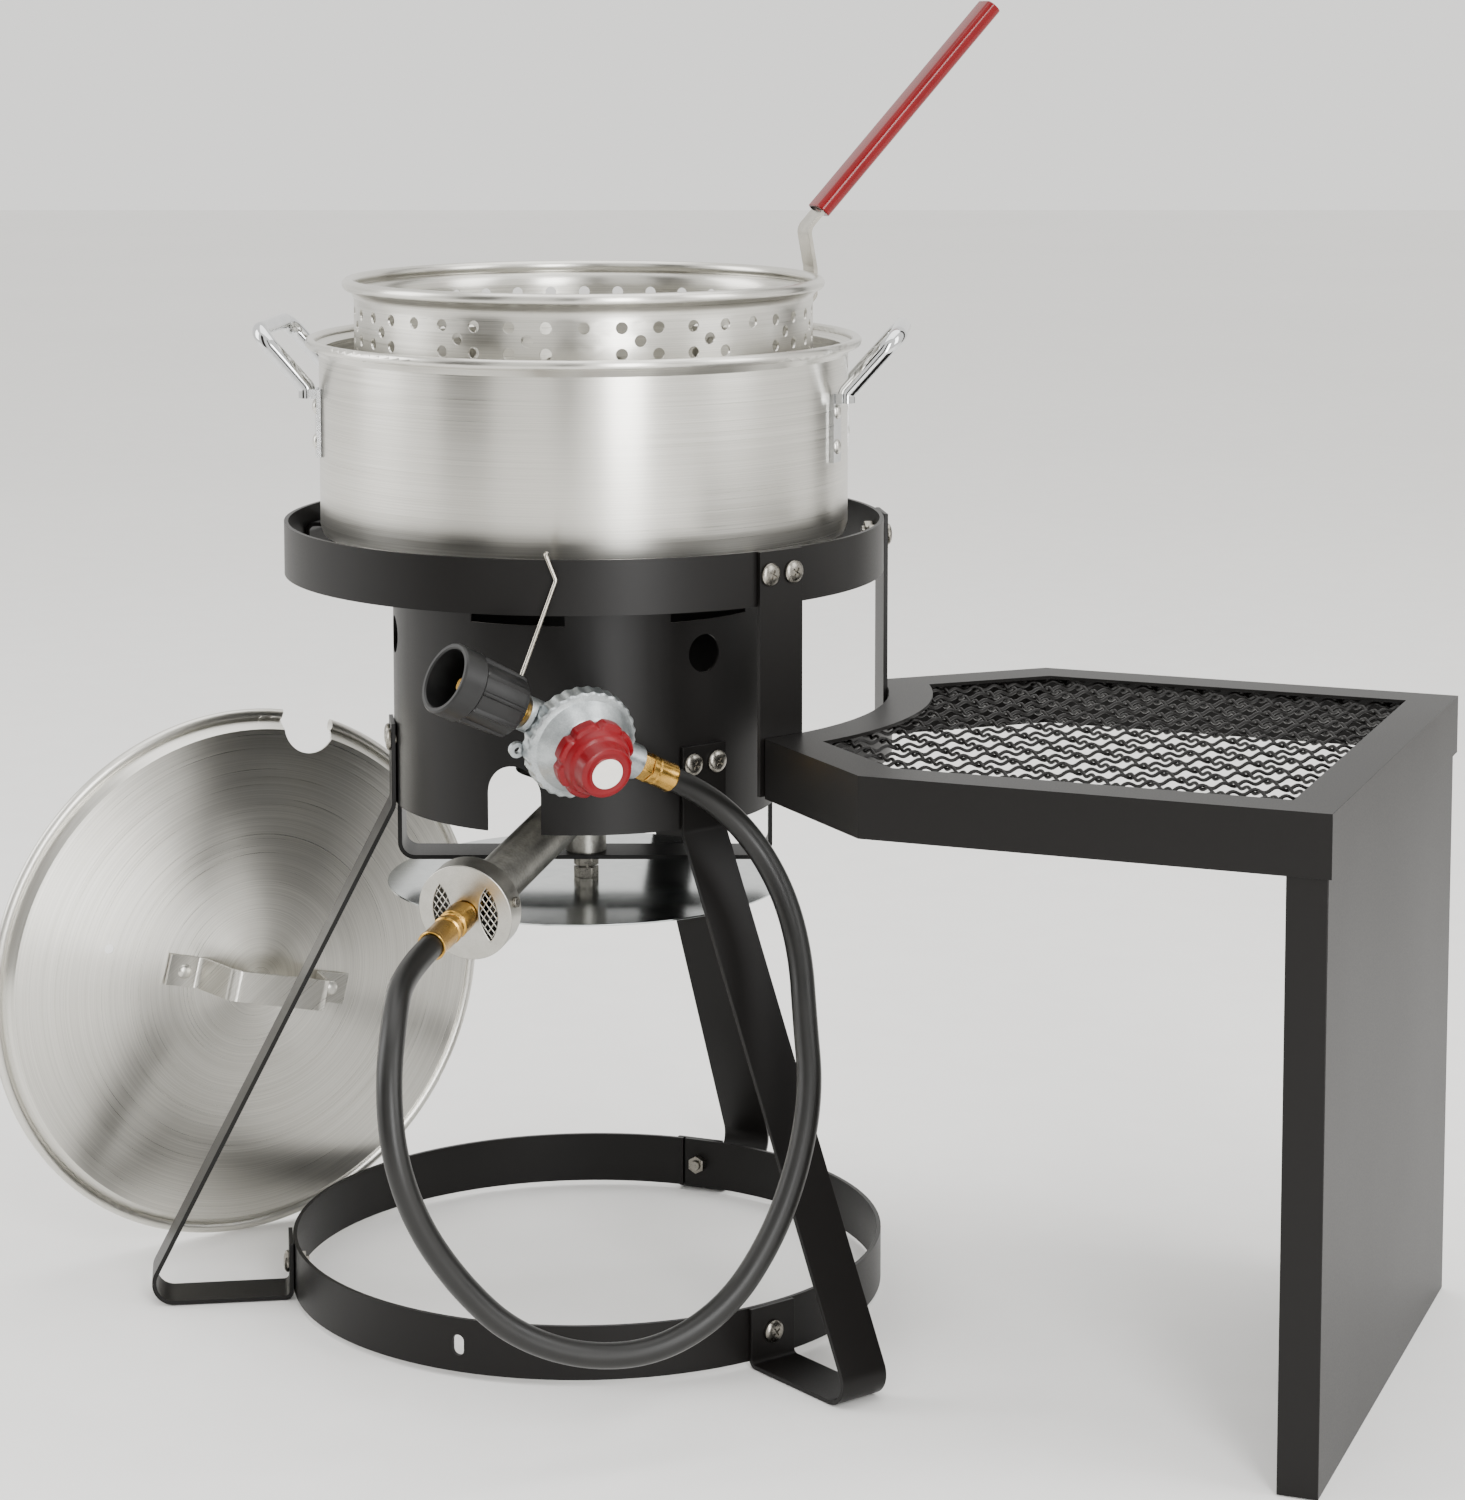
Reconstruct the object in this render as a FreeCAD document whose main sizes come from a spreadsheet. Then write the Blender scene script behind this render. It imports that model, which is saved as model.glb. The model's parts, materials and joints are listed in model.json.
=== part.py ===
import FreeCAD, Part
import math
import os
import re
import Sketcher

# Outdoor fish and turkey fryer kit: a strip-steel stand with a wind guard, a cast
# burner, a gas regulator with its hose, a side table, a pot, a basket and a lid.
# Millimetres. The origin is on the stand's axis at the floor, +Z up, +X to the
# side of the table, -Y to the side of the burner's air shutter.

Vector = FreeCAD.Vector
Rotation = FreeCAD.Rotation
Placement = FreeCAD.Placement
UP = Vector(0, 0, 1)

SIZES = {
    # strip stock of the stand
    "strip_width": 31,
    "strip_gauge": 2.5,
    # rings
    "ring_radius": 177.5,
    "low_ring_base": 3,
    "top_ring_base": 435,
    "seam_gap": 1.5,
    "seam_azimuth": 71.3,
    "slot_azimuth": -112,
    "slot_width": 7,
    "slot_height": 12,
    # legs
    "leg_azimuth": -52,
    "leg_flange_top": 346.5,
    "foot_corner": 267.5,
    "foot_bend": 12,
    "leg_bend": 9,
    "flange_bend": 4,
    # screws and nuts of the stand
    "screw_radius": 3,
    "screw_head_radius": 6.5,
    "screw_head_height": 3.2,
    "nut_flats": 10,
    "nut_height": 5,
    "screw_spacing": 17,
    "leg_screw_level": 336,
    "foot_screw_level": 18.5,
    "top_screw_level": 453,
    # wind guard
    "guard_radius": 114,
    "guard_gauge": 1.5,
    "guard_base": 298.5,
    "vent_width": 57,
    "vent_depth": 36,
    "vent_azimuth": -108,
    "sight_radius": 11,
    "sight_level": 399,
    "arch_width": 33,
    "arch_top": 337,
    "arch_azimuth": -109,
    # arms that carry the pot
    "rest_level": 457,
    "arm_azimuth": -78,
    "arm_drop": 30,
    "arm_lip": 18,
    "arm_bend": 5,
    "rivet_radius": 2.4,
    "rivet_head": 4.6,
    "rivet_dome": 2,
    # burner bracket, burner and heat shield
    "bracket_level": 263,
    "bracket_top": 326,
    "bracket_bend": 9,
    "bracket_rivet_drop": 12,
    "bracket_rivet_side": 9,
    "shield_radius": 118.6,
    "shield_gauge": 1,
    "shield_level": 247,
    "stud_radius": 4,
    "stud_nut_flats": 13,
    "stud_nut_height": 6.5,
    "head_radius": 42,
    "head_base": 304,
    "head_height": 20,
    "port_radius": 1.6,
    "venturi_radius": 14,
    "venturi_bore": 10,
    # air shutter; its axis leaves the stand downwards
    "burner_azimuth": -110,
    "burner_dip": 10,
    "shutter_reach": 170,
    "shutter_level": 268,
    "shutter_radius": 28,
    "shutter_gauge": 1.2,
    "shutter_depth": 14,
    "bell_radius": 26.2,
    "bell_wall": 3,
    "window_offset": 14,
    "window_width": 11,
    "window_length": 32,
    "orifice_radius": 7,
    "orifice_reach": 29,
    # hose
    "hose_radius": 7,
    "ferrule_radius": 8.4,
    "burner_ferrule": 24,
    "valve_ferrule": 18,
    # regulator
    "valve_x": 4.5,
    "valve_y": -185,
    "valve_z": 366,
    "valve_azimuth": -64.2,
    "valve_dip": 15.4,
    "valve_roll": 27.5,
    "gas_line": 12,
    "rim_radius": 32,
    "rim_depth": 7,
    "rim_lap": 3,
    "case_radius": 28,
    "case_taper": 9,
    "case_wall": 6,
    "chamber_depth": 5,
    "lug_azimuth": 215,
    "lug_radius": 4.5,
    "lug_gauge": 3,
    "lug_width": 6,
    "lug_length": 14,
    "lug_eye": 2,
    "case_depth": 19,
    "dome_radius": 17,
    "dome_height": 14,
    "membrane_gauge": 1,
    "spring_radius": 8,
    "spring_wire": 1.2,
    "spring_turns": 4,
    "stem_radius": 8,
    "knob_radius": 22.5,
    "knob_face": 15,
    "knob_base": 15,
    "knob_top": 38,
    "label_radius": 8.8,
    "inlet_neck": 35.6,
    "outlet_neck": 46,
    "neck_radius": 10,
    "nipple_radius": 6.5,
    "probe_radius": 4,
    "probe_end": 78,
    "nut_start": 43,
    "nut_end": 89,
    "nut_radius": 20,
    "nut_bore": 16.7,
    "nut_floor": 3.5,
    "hex_flats": 15,
    "hex_length": 8,
    "wire_radius": 1.1,
    "wire_azimuth": -94.6,
    # side table
    "table_azimuth": -21.5,
    "table_level": 361,
    "table_end": 488,
    "table_half": 173,
    "table_corner": 234,
    "table_tip": 152.6,
    "table_tip_half": 99,
    "table_gap": 3.5,
    "table_gauge": 2,
    "table_skirt": 34,
    "table_flange": 26,
    "mesh_wire": 2.7,
    "mesh_pitch": 20,
    "mesh_inset": 7,
    "panel_gauge": 1.5,
    "panel_return": 22,
    "strap_offset": 28.8,
    "strap_base": 328,
    # pot
    "pot_radius": 156,
    "pot_wall": 2,
    "pot_floor": 2.5,
    "pot_height": 116.7,
    "pot_corner": 7,
    "pot_flare": 5,
    "pot_bead": 3,
    "body_clearance": 0.3,
    "pot_grip_azimuth": -5,
    "pot_grip_half": 42,
    "pot_grip_reach": 187,
    "pot_grip_rise": 33,
    "pot_grip_radius": 5,
    "grip_leg_base": 505,
    "grip_leg_top": 545,
    "grip_leg_width": 13,
    "grip_leg_gauge": 2.5,
    "rivet_level": 514,
    "rivet_step": 20.5,
    # basket
    "oil_gap": 19.4,
    "basket_wall": 1.5,
    "basket_height": 148,
    "basket_flare": 4,
    "basket_bead": 3,
    "basket_handle_azimuth": 20,
    "handle_width": 18,
    "handle_gauge": 2.5,
    "handle_base": 548,
    "handle_jog": 584,
    "handle_knee": 634,
    "handle_knee_radius": 139,
    "handle_slope": 47.7,
    "grip_start": 14,
    "grip_length": 166,
    "grip_width": 21,
    "grip_depth": 10,
    "basket_rivet_step": 16,
    # lid, stood on its edge on the floor
    "lid_radius": 166,
    "lid_bead": 3.5,
    "lid_rise": 26,
    "lid_shoulder": 9,
    "lid_wall": 1.2,
    "lid_azimuth": -57.4,
    "lid_x": -219.7,
    "lid_y": 88.5,
    "notch_radius": 18,
    "notch_angle": 73.5,
    "steam_radius": 3,
    "steam_reach": 100,
    "steam_angle": 162,
    "lid_handle_half": 62,
    "lid_handle_width": 19,
    "lid_handle_gauge": 2.5,
    "lid_handle_rise": 30,
    "lid_handle_turn": -14,
    "lid_foot": 22,
}

# sizes that follow from others, written out wherever they are used
FOLLOWS = {
    "table_arc": "ring_radius + table_gap",
    "basket_radius": "pot_radius - pot_wall - oil_gap",
}

LEG_NAMES = ("front", "rear", "left")

doc = FreeCAD.newDocument("turkey_fryer_kit")
sheet = doc.addObject("Spreadsheet::Sheet", "Dims")
for row, (alias, number) in enumerate(SIZES.items(), start=1):
    sheet.set(f"A{row}", alias)
    sheet.set(f"B{row}", str(number))
    sheet.setAlias(f"B{row}", alias)
doc.recompute()

nodes = {}


# ---------------------------------------------------------------- helpers

def spelled(expression):
    """The expression with each size that follows others written out."""
    text = str(expression)
    for name, rule in FOLLOWS.items():
        text = re.sub(rf"\b{name}\b", f"({rule})", text)
    return text


def cells(expression):
    """The expression with the sheet's name before each size."""
    return re.sub(r"\b([a-z]+_[a-z_]+)\b", r"Dims.\1", spelled(expression))


def size(expression):
    """The number that an expression of sizes gives, in millimetres or degrees."""
    number = sheet.evalExpression(spelled(expression))
    return float(getattr(number, "Value", number))


def bind(thing, **expressions):
    for name, expression in expressions.items():
        thing.setExpression(name, cells(expression))
    return thing


def turn(azimuth):
    return Rotation(UP, azimuth)


def outward(azimuth, reach, level, side=0):
    """A place at an azimuth whose Z axis points away from the stand's axis."""
    spin = turn(azimuth)
    base = spin.multVec(Vector(reach, side, level))
    return Placement(base, spin * Rotation(Vector(0, 1, 0), 90))


def facing(origin, direction, right):
    """A place whose Z axis is direction and whose X axis is nearest to right."""
    return Placement(origin, Rotation(right, Vector(), direction, "ZXY"))


def cylinder(radius, height, place=None, base="0"):
    thing = doc.addObject("Part::Cylinder", "cylinder")
    bind(thing, Radius=radius, Height=height)
    if place is None:
        thing.setExpression("Placement.Base.z", cells(base))
    else:
        thing.Placement = place * Placement(Vector(0, 0, size(base)), Rotation())
    return thing


def block(length, width, height, place):
    """A box that is centred on its place in X and Y and rises along its Z axis."""
    thing = doc.addObject("Part::Box", "block")
    bind(thing, Length=length, Width=width, Height=height)
    shift = Vector(-size(length) / 2, -size(width) / 2, 0)
    thing.Placement = place * Placement(shift, Rotation())
    return thing


def nut_prism(flats, height, place, base="0"):
    thing = doc.addObject("Part::Prism", "nut_prism")
    thing.Polygon = 6
    bind(thing, Circumradius=f"({flats}) / 2 / cos(30 deg)", Height=height)
    thing.Placement = place * Placement(Vector(0, 0, size(base)), Rotation())
    return thing


def joined(things):
    if len(things) == 1:
        return things[0]
    fusion = doc.addObject("Part::MultiFuse", "joined")
    fusion.Shapes = list(things)
    return fusion


def cut(base, *tools):
    thing = doc.addObject("Part::Cut", "cut")
    thing.Base = base
    thing.Tool = joined(tools)
    return thing


def node(name, thing):
    thing.Label = name
    nodes[name] = thing
    return thing


def solid(name, shape, place=None):
    """A sub-part whose shape is built with Part's own functions."""
    thing = doc.addObject("Part::Feature", name)
    thing.Shape = shape
    if place is not None:
        thing.Placement = place
    return node(name, thing)


def dimension(sketch, kind, index, point, expression):
    constraint = Sketcher.Constraint(kind, -1, 1, index, point, size(expression))
    number = sketch.addConstraint(constraint)
    sketch.setExpression(f"Constraints[{number}]", cells(expression))


def new_sketch(body, plane):
    sketch = body.newObject("Sketcher::SketchObject", "outline")
    face = next(item for item in body.Origin.OriginFeatures if item.Role == plane)
    sketch.AttachmentSupport = (face, [""])
    sketch.MapMode = "FlatFace"
    return sketch


def polygon(sketch, corners):
    """A closed outline whose corners are dimensioned from the sketch's origin."""
    points = [Vector(size(x), size(y), 0) for x, y in corners]
    count = len(points)
    for index in range(count):
        sketch.addGeometry(Part.LineSegment(points[index], points[(index + 1) % count]), False)
    for index in range(count):
        sketch.addConstraint(Sketcher.Constraint("Coincident", index, 2, (index + 1) % count, 1))
    for index, (x, y) in enumerate(corners):
        dimension(sketch, "DistanceX", index, 1, x)
        dimension(sketch, "DistanceY", index, 1, y)


def spin_body(body, sketch):
    spin = body.newObject("PartDesign::Revolution", "spin")
    spin.Profile = sketch
    spin.ReferenceAxis = (sketch, ["V_Axis"])
    spin.Angle = 360
    body.Tip = spin


def turned(corners, place=None):
    """A body turned on its Z axis from an outline of (radius, height) corners."""
    body = doc.addObject("PartDesign::Body", "turned")
    sketch = new_sketch(body, "XZ_Plane")
    polygon(sketch, corners)
    spin_body(body, sketch)
    if place is not None:
        body.Placement = place
    return body


def add_bead(body, radius, height, bead):
    """A round rolled edge round a turned body."""
    sketch = new_sketch(body, "XZ_Plane")
    centre = Vector(size(radius), size(height), 0)
    sketch.addGeometry(Part.Circle(centre, UP, size(bead)), False)
    dimension(sketch, "DistanceX", 0, 3, radius)
    dimension(sketch, "DistanceY", 0, 3, height)
    number = sketch.addConstraint(Sketcher.Constraint("Radius", 0, size(bead)))
    sketch.setExpression(f"Constraints[{number}]", cells(bead))
    spin_body(body, sketch)


def padded(corners, height, place=None, base="0"):
    """A body padded upwards from an outline of (x, y) corners."""
    body = doc.addObject("PartDesign::Body", "padded")
    sketch = new_sketch(body, "XY_Plane")
    polygon(sketch, corners)
    pad = body.newObject("PartDesign::Pad", "pad")
    pad.Profile = sketch
    pad.setExpression("Length", cells(height))
    body.Tip = pad
    lift = Placement(Vector(0, 0, size(base)), Rotation())
    body.Placement = lift if place is None else place * lift
    return body


def route(points, bends):
    """Straight runs joined by tangent arcs, with one bend radius at each inner point."""
    edges = []
    start = points[0]
    for before, corner, after, bend in zip(points, points[1:], points[2:], bends):
        back = (before - corner).normalize()
        ahead = (after - corner).normalize()
        half = back.getAngle(ahead) / 2
        reach = bend / math.tan(half)
        middle = (back + ahead).normalize()
        depth = bend / math.sin(half) - bend
        first = corner + back * reach
        last = corner + ahead * reach
        edges.append(Part.LineSegment(start, first).toShape())
        edges.append(Part.Arc(first, corner + middle * depth, last).toShape())
        start = last
    edges.append(Part.LineSegment(start, points[-1]).toShape())
    return Part.Wire(edges)


def bent_strip(corners, bends, width, gauge):
    """A strip bent in the XZ plane along its middle line, with its width along Y."""
    points = [Vector(x, 0, z) for x, z in corners]
    along = (points[1] - points[0]).normalize()
    normal = along.cross(Vector(0, 1, 0))
    signs = ((-1, -1), (1, -1), (1, 1), (-1, 1), (-1, -1))
    ring = [points[0] + Vector(0, i * width / 2, 0) + normal * (j * gauge / 2) for i, j in signs]
    return route(points, bends).makePipeShell([Part.makePolygon(ring)], True, False)


def round_bar(points, bends, radius):
    """A round wire or tube along straight runs and arcs."""
    along = (points[1] - points[0]).normalize()
    section = Part.Wire(Part.makeCircle(radius, points[0], along))
    return route(points, bends).makePipeShell([section], True, False)


def hole(place, radius, depth=40):
    """A drill that is centred on its place and runs both ways along its Z axis."""
    drill = Part.makeCylinder(radius, depth, Vector(0, 0, -depth / 2))
    drill.Placement = place
    return drill


def pan_screw(length):
    """A pan-head screw with the head's underside at the origin and the shank down -Z."""
    head_radius = size("screw_head_radius")
    head_height = size("screw_head_height")
    head = Part.makeCylinder(head_radius, head_height)
    head = head.makeFillet(head_height * 0.6, [head.Edges[0]])
    shank = Part.makeCylinder(size("screw_radius"), length, Vector(0, 0, -length))
    return head.fuse(shank).removeSplitter()


def hex_nut(top):
    """A nut round the screw's shank whose outer face is at height top."""
    height = size("nut_height")
    corner = size("nut_flats / 2") / math.cos(math.radians(30))
    ring = [Vector(corner, 0, 0)]
    for step in range(1, 7):
        ring.append(Rotation(UP, 60 * step).multVec(Vector(corner, 0, 0)))
    prism = Part.Face(Part.makePolygon(ring)).extrude(Vector(0, 0, height))
    prism.translate(Vector(0, 0, top - height))
    bore = Part.makeCylinder(size("screw_radius"), height, Vector(0, 0, top - height))
    return prism.cut(bore)


def rivet(grip):
    """A rivet with a domed head at each end of its grip, which runs down -Z."""
    radius = size("rivet_radius")
    head = size("rivet_head")
    dome = size("rivet_dome")
    shank = Part.makeCylinder(radius, grip, Vector(0, 0, -grip))
    top = Part.makeCone(head, radius, dome)
    bottom = Part.makeCone(radius, head, dome, Vector(0, 0, -grip - dome))
    return shank.fuse([top, bottom]).removeSplitter()


def group(shapes_and_places):
    copies = []
    for shape, place in shapes_and_places:
        copy = shape.copy()
        copy.Placement = place
        copies.append(copy)
    return Part.makeCompound(copies)


def flat_inside(radius):
    """How far out a flat strip can lie inside a round wall before its edges touch."""
    return math.sqrt(radius ** 2 - (size("strip_width") / 2) ** 2)


def head_seat(radius):
    """How far a rivet's flat head stands off the inside of a round wall."""
    return radius - math.sqrt(radius ** 2 - size("rivet_head") ** 2)


# ---------------------------------------------------------------- places

leg_azimuths = [size("leg_azimuth") + 120 * step for step in range(3)]
arm_azimuths = [size("arm_azimuth") + 120 * step for step in range(3)]
strap_azimuths = {
    "front": size("table_azimuth - strap_offset"),
    "rear": size("table_azimuth + strap_offset"),
}
screw_sides = (size("-screw_spacing / 2"), size("screw_spacing / 2"))
leg_face = size("guard_radius + strip_gauge")
ring_face = size("ring_radius + strip_gauge")

leg_screw_places = []
for azimuth in leg_azimuths:
    for side in screw_sides:
        leg_screw_places.append(outward(azimuth, leg_face, size("leg_screw_level"), side))
foot_screw_places = [outward(a, ring_face, size("foot_screw_level")) for a in leg_azimuths]
strap_screw_places = []
for azimuth in strap_azimuths.values():
    for side in screw_sides:
        strap_screw_places.append(outward(azimuth, ring_face, size("top_screw_level"), side))


# ---------------------------------------------------------------- rings

def band(name, base, holes):
    """A ring of strip stock with a butt seam."""
    outer = cylinder("ring_radius", "strip_width", base=base)
    inner = cylinder("ring_radius - strip_gauge", "strip_width", base=base)
    seam = block(
        "strip_gauge * 4", "seam_gap", "strip_width",
        outward_upright("seam_azimuth", "ring_radius - strip_gauge / 2", base),
    )
    return node(name, cut(outer, inner, seam, *holes))


def outward_upright(azimuth, reach, level):
    """A place at an azimuth whose Z axis stays upright and whose X axis points out."""
    spin = turn(size(azimuth))
    return Placement(spin.multVec(Vector(size(reach), 0, size(level))), spin)


def ring_drills(places, radius="screw_radius"):
    return [cylinder(radius, "strip_gauge * 6", place, "-strip_gauge * 3") for place in places]


slot_place = outward(size("slot_azimuth"), size("ring_radius"), size("foot_screw_level"))
slot_ends = []
for sign in ("-", ""):
    shift = Placement(Vector(size(f"{sign}(slot_height - slot_width) / 2"), 0, 0), Rotation())
    slot_ends.append(slot_place * shift)
slot_drills = ring_drills(slot_ends, "slot_width / 2")
slot_middle = block(
    "slot_height - slot_width", "slot_width", "strip_gauge * 6",
    slot_place * Placement(Vector(0, 0, size("-strip_gauge * 3")), Rotation()),
)
band("bottom_ring", "low_ring_base", ring_drills(foot_screw_places) + slot_drills + [slot_middle])

band("top_ring", "top_ring_base", ring_drills(strap_screw_places))


# ---------------------------------------------------------------- legs

def leg_shape():
    flange = size("guard_radius + strip_gauge / 2")
    floor = size("strip_gauge / 2")
    inner = size("ring_radius + strip_gauge / 2")
    corners = [
        (flange, size("leg_flange_top")),
        (flange, size("guard_base - strip_gauge / 2")),
        (size("foot_corner"), floor),
        (inner, floor),
        (inner, size("low_ring_base + strip_width")),
    ]
    bends = [size("leg_bend"), size("foot_bend"), size("flange_bend")]
    strip = bent_strip(corners, bends, size("strip_width"), size("strip_gauge"))
    drills = []
    for side in screw_sides:
        drills.append(hole(outward(0, flange, size("leg_screw_level"), side), size("screw_radius"), 8))
    drills.append(hole(outward(0, inner, size("foot_screw_level")), size("screw_radius"), 8))
    return strip.cut(drills)


for name, azimuth in zip(LEG_NAMES, leg_azimuths):
    solid(f"leg_{name}", leg_shape(), Placement(Vector(), turn(azimuth)))

screw_reach = 2 * size("strip_gauge") + size("nut_height") + 2
leg_screws = [(pan_screw(screw_reach), place) for place in leg_screw_places]
foot_screws = [(pan_screw(screw_reach), place) for place in foot_screw_places]
solid("leg_screws", group(leg_screws + foot_screws))

nut_edge = size("screw_spacing / 2 + nut_flats / 2 / cos(30 deg)")
guard_bore = size("guard_radius - guard_gauge")
ring_bore = size("ring_radius - strip_gauge")
leg_nut_face = math.sqrt(guard_bore ** 2 - nut_edge ** 2) - leg_face
foot_nut_face = math.sqrt(ring_bore ** 2 - size("nut_flats / 2 / cos(30 deg)") ** 2) - ring_face
top_nut_face = math.sqrt(ring_bore ** 2 - nut_edge ** 2) - ring_face
leg_nuts = [(hex_nut(leg_nut_face), place) for place in leg_screw_places]
foot_nuts = [(hex_nut(foot_nut_face), place) for place in foot_screw_places]
solid("leg_nuts", group(leg_nuts + foot_nuts))


# ---------------------------------------------------------------- wind guard

guard_height = "rest_level - strip_gauge - guard_base"
guard_shell = cut(
    cylinder("guard_radius", guard_height, base="guard_base"),
    cylinder("guard_radius - guard_gauge", guard_height, base="guard_base"),
)
guard_cuts = []
for step in range(6):
    place = turn(size("vent_azimuth") + 60 * step)
    base = place.multVec(Vector(size("guard_radius"), 0, size("rest_level - strip_gauge - vent_depth")))
    guard_cuts.append(block("guard_radius / 2", "vent_width", "vent_depth * 2", Placement(base, place)))
sight_azimuths = (size("leg_azimuth + 1"), size("leg_azimuth - 116"))
sights = [outward(a, size("guard_radius"), size("sight_level")) for a in sight_azimuths]
guard_cuts += ring_drills(sights, "sight_radius")
guard_cuts += ring_drills(leg_screw_places)
arch = outward(size("arch_azimuth"), size("guard_radius"), size("arch_top - arch_width / 2"))
guard_cuts += ring_drills([arch], "arch_width / 2")
arch_turn = turn(size("arch_azimuth"))
arch_foot = Placement(arch_turn.multVec(Vector(size("guard_radius"), 0, size("guard_base"))), arch_turn)
guard_cuts.append(block(
    "guard_radius / 4", "arch_width", "arch_top - arch_width / 2 - guard_base", arch_foot))
inner_rivet_level = size("rest_level - arm_drop / 2 - strip_gauge")
guard_rivet_places = [outward(a, size("guard_radius"), inner_rivet_level) for a in arm_azimuths]
bracket_rivet_level = size("bracket_top - bracket_rivet_drop")
bracket_rivet_places = []
for azimuth, sign in ((0, 1), (180, -1)):
    bracket_rivet_places.append(outward(
        azimuth, size("guard_radius"), bracket_rivet_level, sign * size("bracket_rivet_side")))
notch_depth = "arm_bend + strip_gauge"
for azimuth in arm_azimuths:
    spin = turn(azimuth)
    notch_base = Vector(size("guard_radius"), 0, size(f"rest_level - strip_gauge - ({notch_depth})"))
    guard_cuts.append(block("guard_gauge * 6", "strip_width + 2 * body_clearance", "arm_bend * 2",
                            Placement(spin.multVec(notch_base), spin)))
guard_cuts += ring_drills(guard_rivet_places + bracket_rivet_places, "rivet_radius")
node("wind_guard", cut(guard_shell, *guard_cuts))


# ---------------------------------------------------------------- pot arms

guard_flat = flat_inside(guard_bore) - size("strip_gauge / 2")
ring_flat = flat_inside(ring_bore) - size("strip_gauge / 2")
arm_middle = size("rest_level - strip_gauge / 2")


def arm_shape():
    corners = [
        (guard_flat, size("rest_level - arm_drop")),
        (guard_flat, arm_middle),
        (ring_flat, arm_middle),
        (ring_flat, size("rest_level - arm_lip")),
    ]
    bend = size("arm_bend")
    strip = bent_strip(corners, [bend, bend], size("strip_width"), size("strip_gauge"))
    return strip.cut(hole(outward(0, guard_flat, inner_rivet_level), size("rivet_radius"), 8))


for name, azimuth in zip(LEG_NAMES, arm_azimuths):
    solid(f"pot_arm_{name}", arm_shape(), Placement(Vector(), turn(azimuth)))

guard_grip = size("guard_radius") - guard_flat + size("strip_gauge / 2")
solid("arm_rivets", group([(rivet(guard_grip), place) for place in guard_rivet_places]))


# ---------------------------------------------------------------- bracket, shield

def bracket_shape():
    reach = guard_flat
    corners = [
        (-reach, size("bracket_top")),
        (-reach, size("bracket_level")),
        (reach, size("bracket_level")),
        (reach, size("bracket_top")),
    ]
    bend = size("bracket_bend")
    strip = bent_strip(corners, [bend, bend], size("strip_width"), size("strip_gauge"))
    stud = hole(Placement(Vector(0, 0, size("bracket_level")), Rotation()), size("stud_radius"), 8)
    drills = [stud]
    for place in bracket_rivet_places:
        drills.append(hole(place, size("rivet_radius"), 12))
    return strip.cut(drills)


solid("burner_bracket", bracket_shape())
solid("bracket_rivets", group([(rivet(guard_grip), place) for place in bracket_rivet_places]))

node("heat_shield", turned([
    ("stud_radius", "shield_level"),
    ("shield_radius", "shield_level"),
    ("shield_radius", "shield_level + shield_gauge"),
    ("stud_radius", "shield_level + shield_gauge"),
]))

stud_foot = "shield_level - stud_nut_height - 2"
stud_height = f"bracket_level + 20 - ({stud_foot})"
node("burner_stud", cylinder("stud_radius", stud_height, base=stud_foot))
stud_nut_bases = (
    "shield_level - stud_nut_height",
    "shield_level + shield_gauge",
    "bracket_level - strip_gauge / 2 - stud_nut_height",
)
stud_nuts = []
for base in stud_nut_bases:
    prism = nut_prism("stud_nut_flats", "stud_nut_height", Placement(), base)
    stud_nuts.append(cut(prism, cylinder("stud_radius", "stud_nut_height", base=base)))
stud_nut_group = doc.addObject("Part::Compound", "stud_nuts")
stud_nut_group.Links = stud_nuts
node("stud_nuts", stud_nut_group)


# ---------------------------------------------------------------- burner

burner_turn = turn(size("burner_azimuth"))
burner_along = burner_turn.multVec(
    Vector(size("cos(burner_dip)"), 0, size("-sin(burner_dip)")))
burner_origin = burner_turn.multVec(Vector(size("shutter_reach"), 0, size("shutter_level")))
burner_side = burner_turn.multVec(Vector(0, 1, 0))
shutter_place = facing(burner_origin, burner_along, burner_side)

venturi_length = size("shutter_reach / cos(burner_dip)")
centre_level = size("shutter_level + shutter_reach * tan(burner_dip)")


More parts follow.
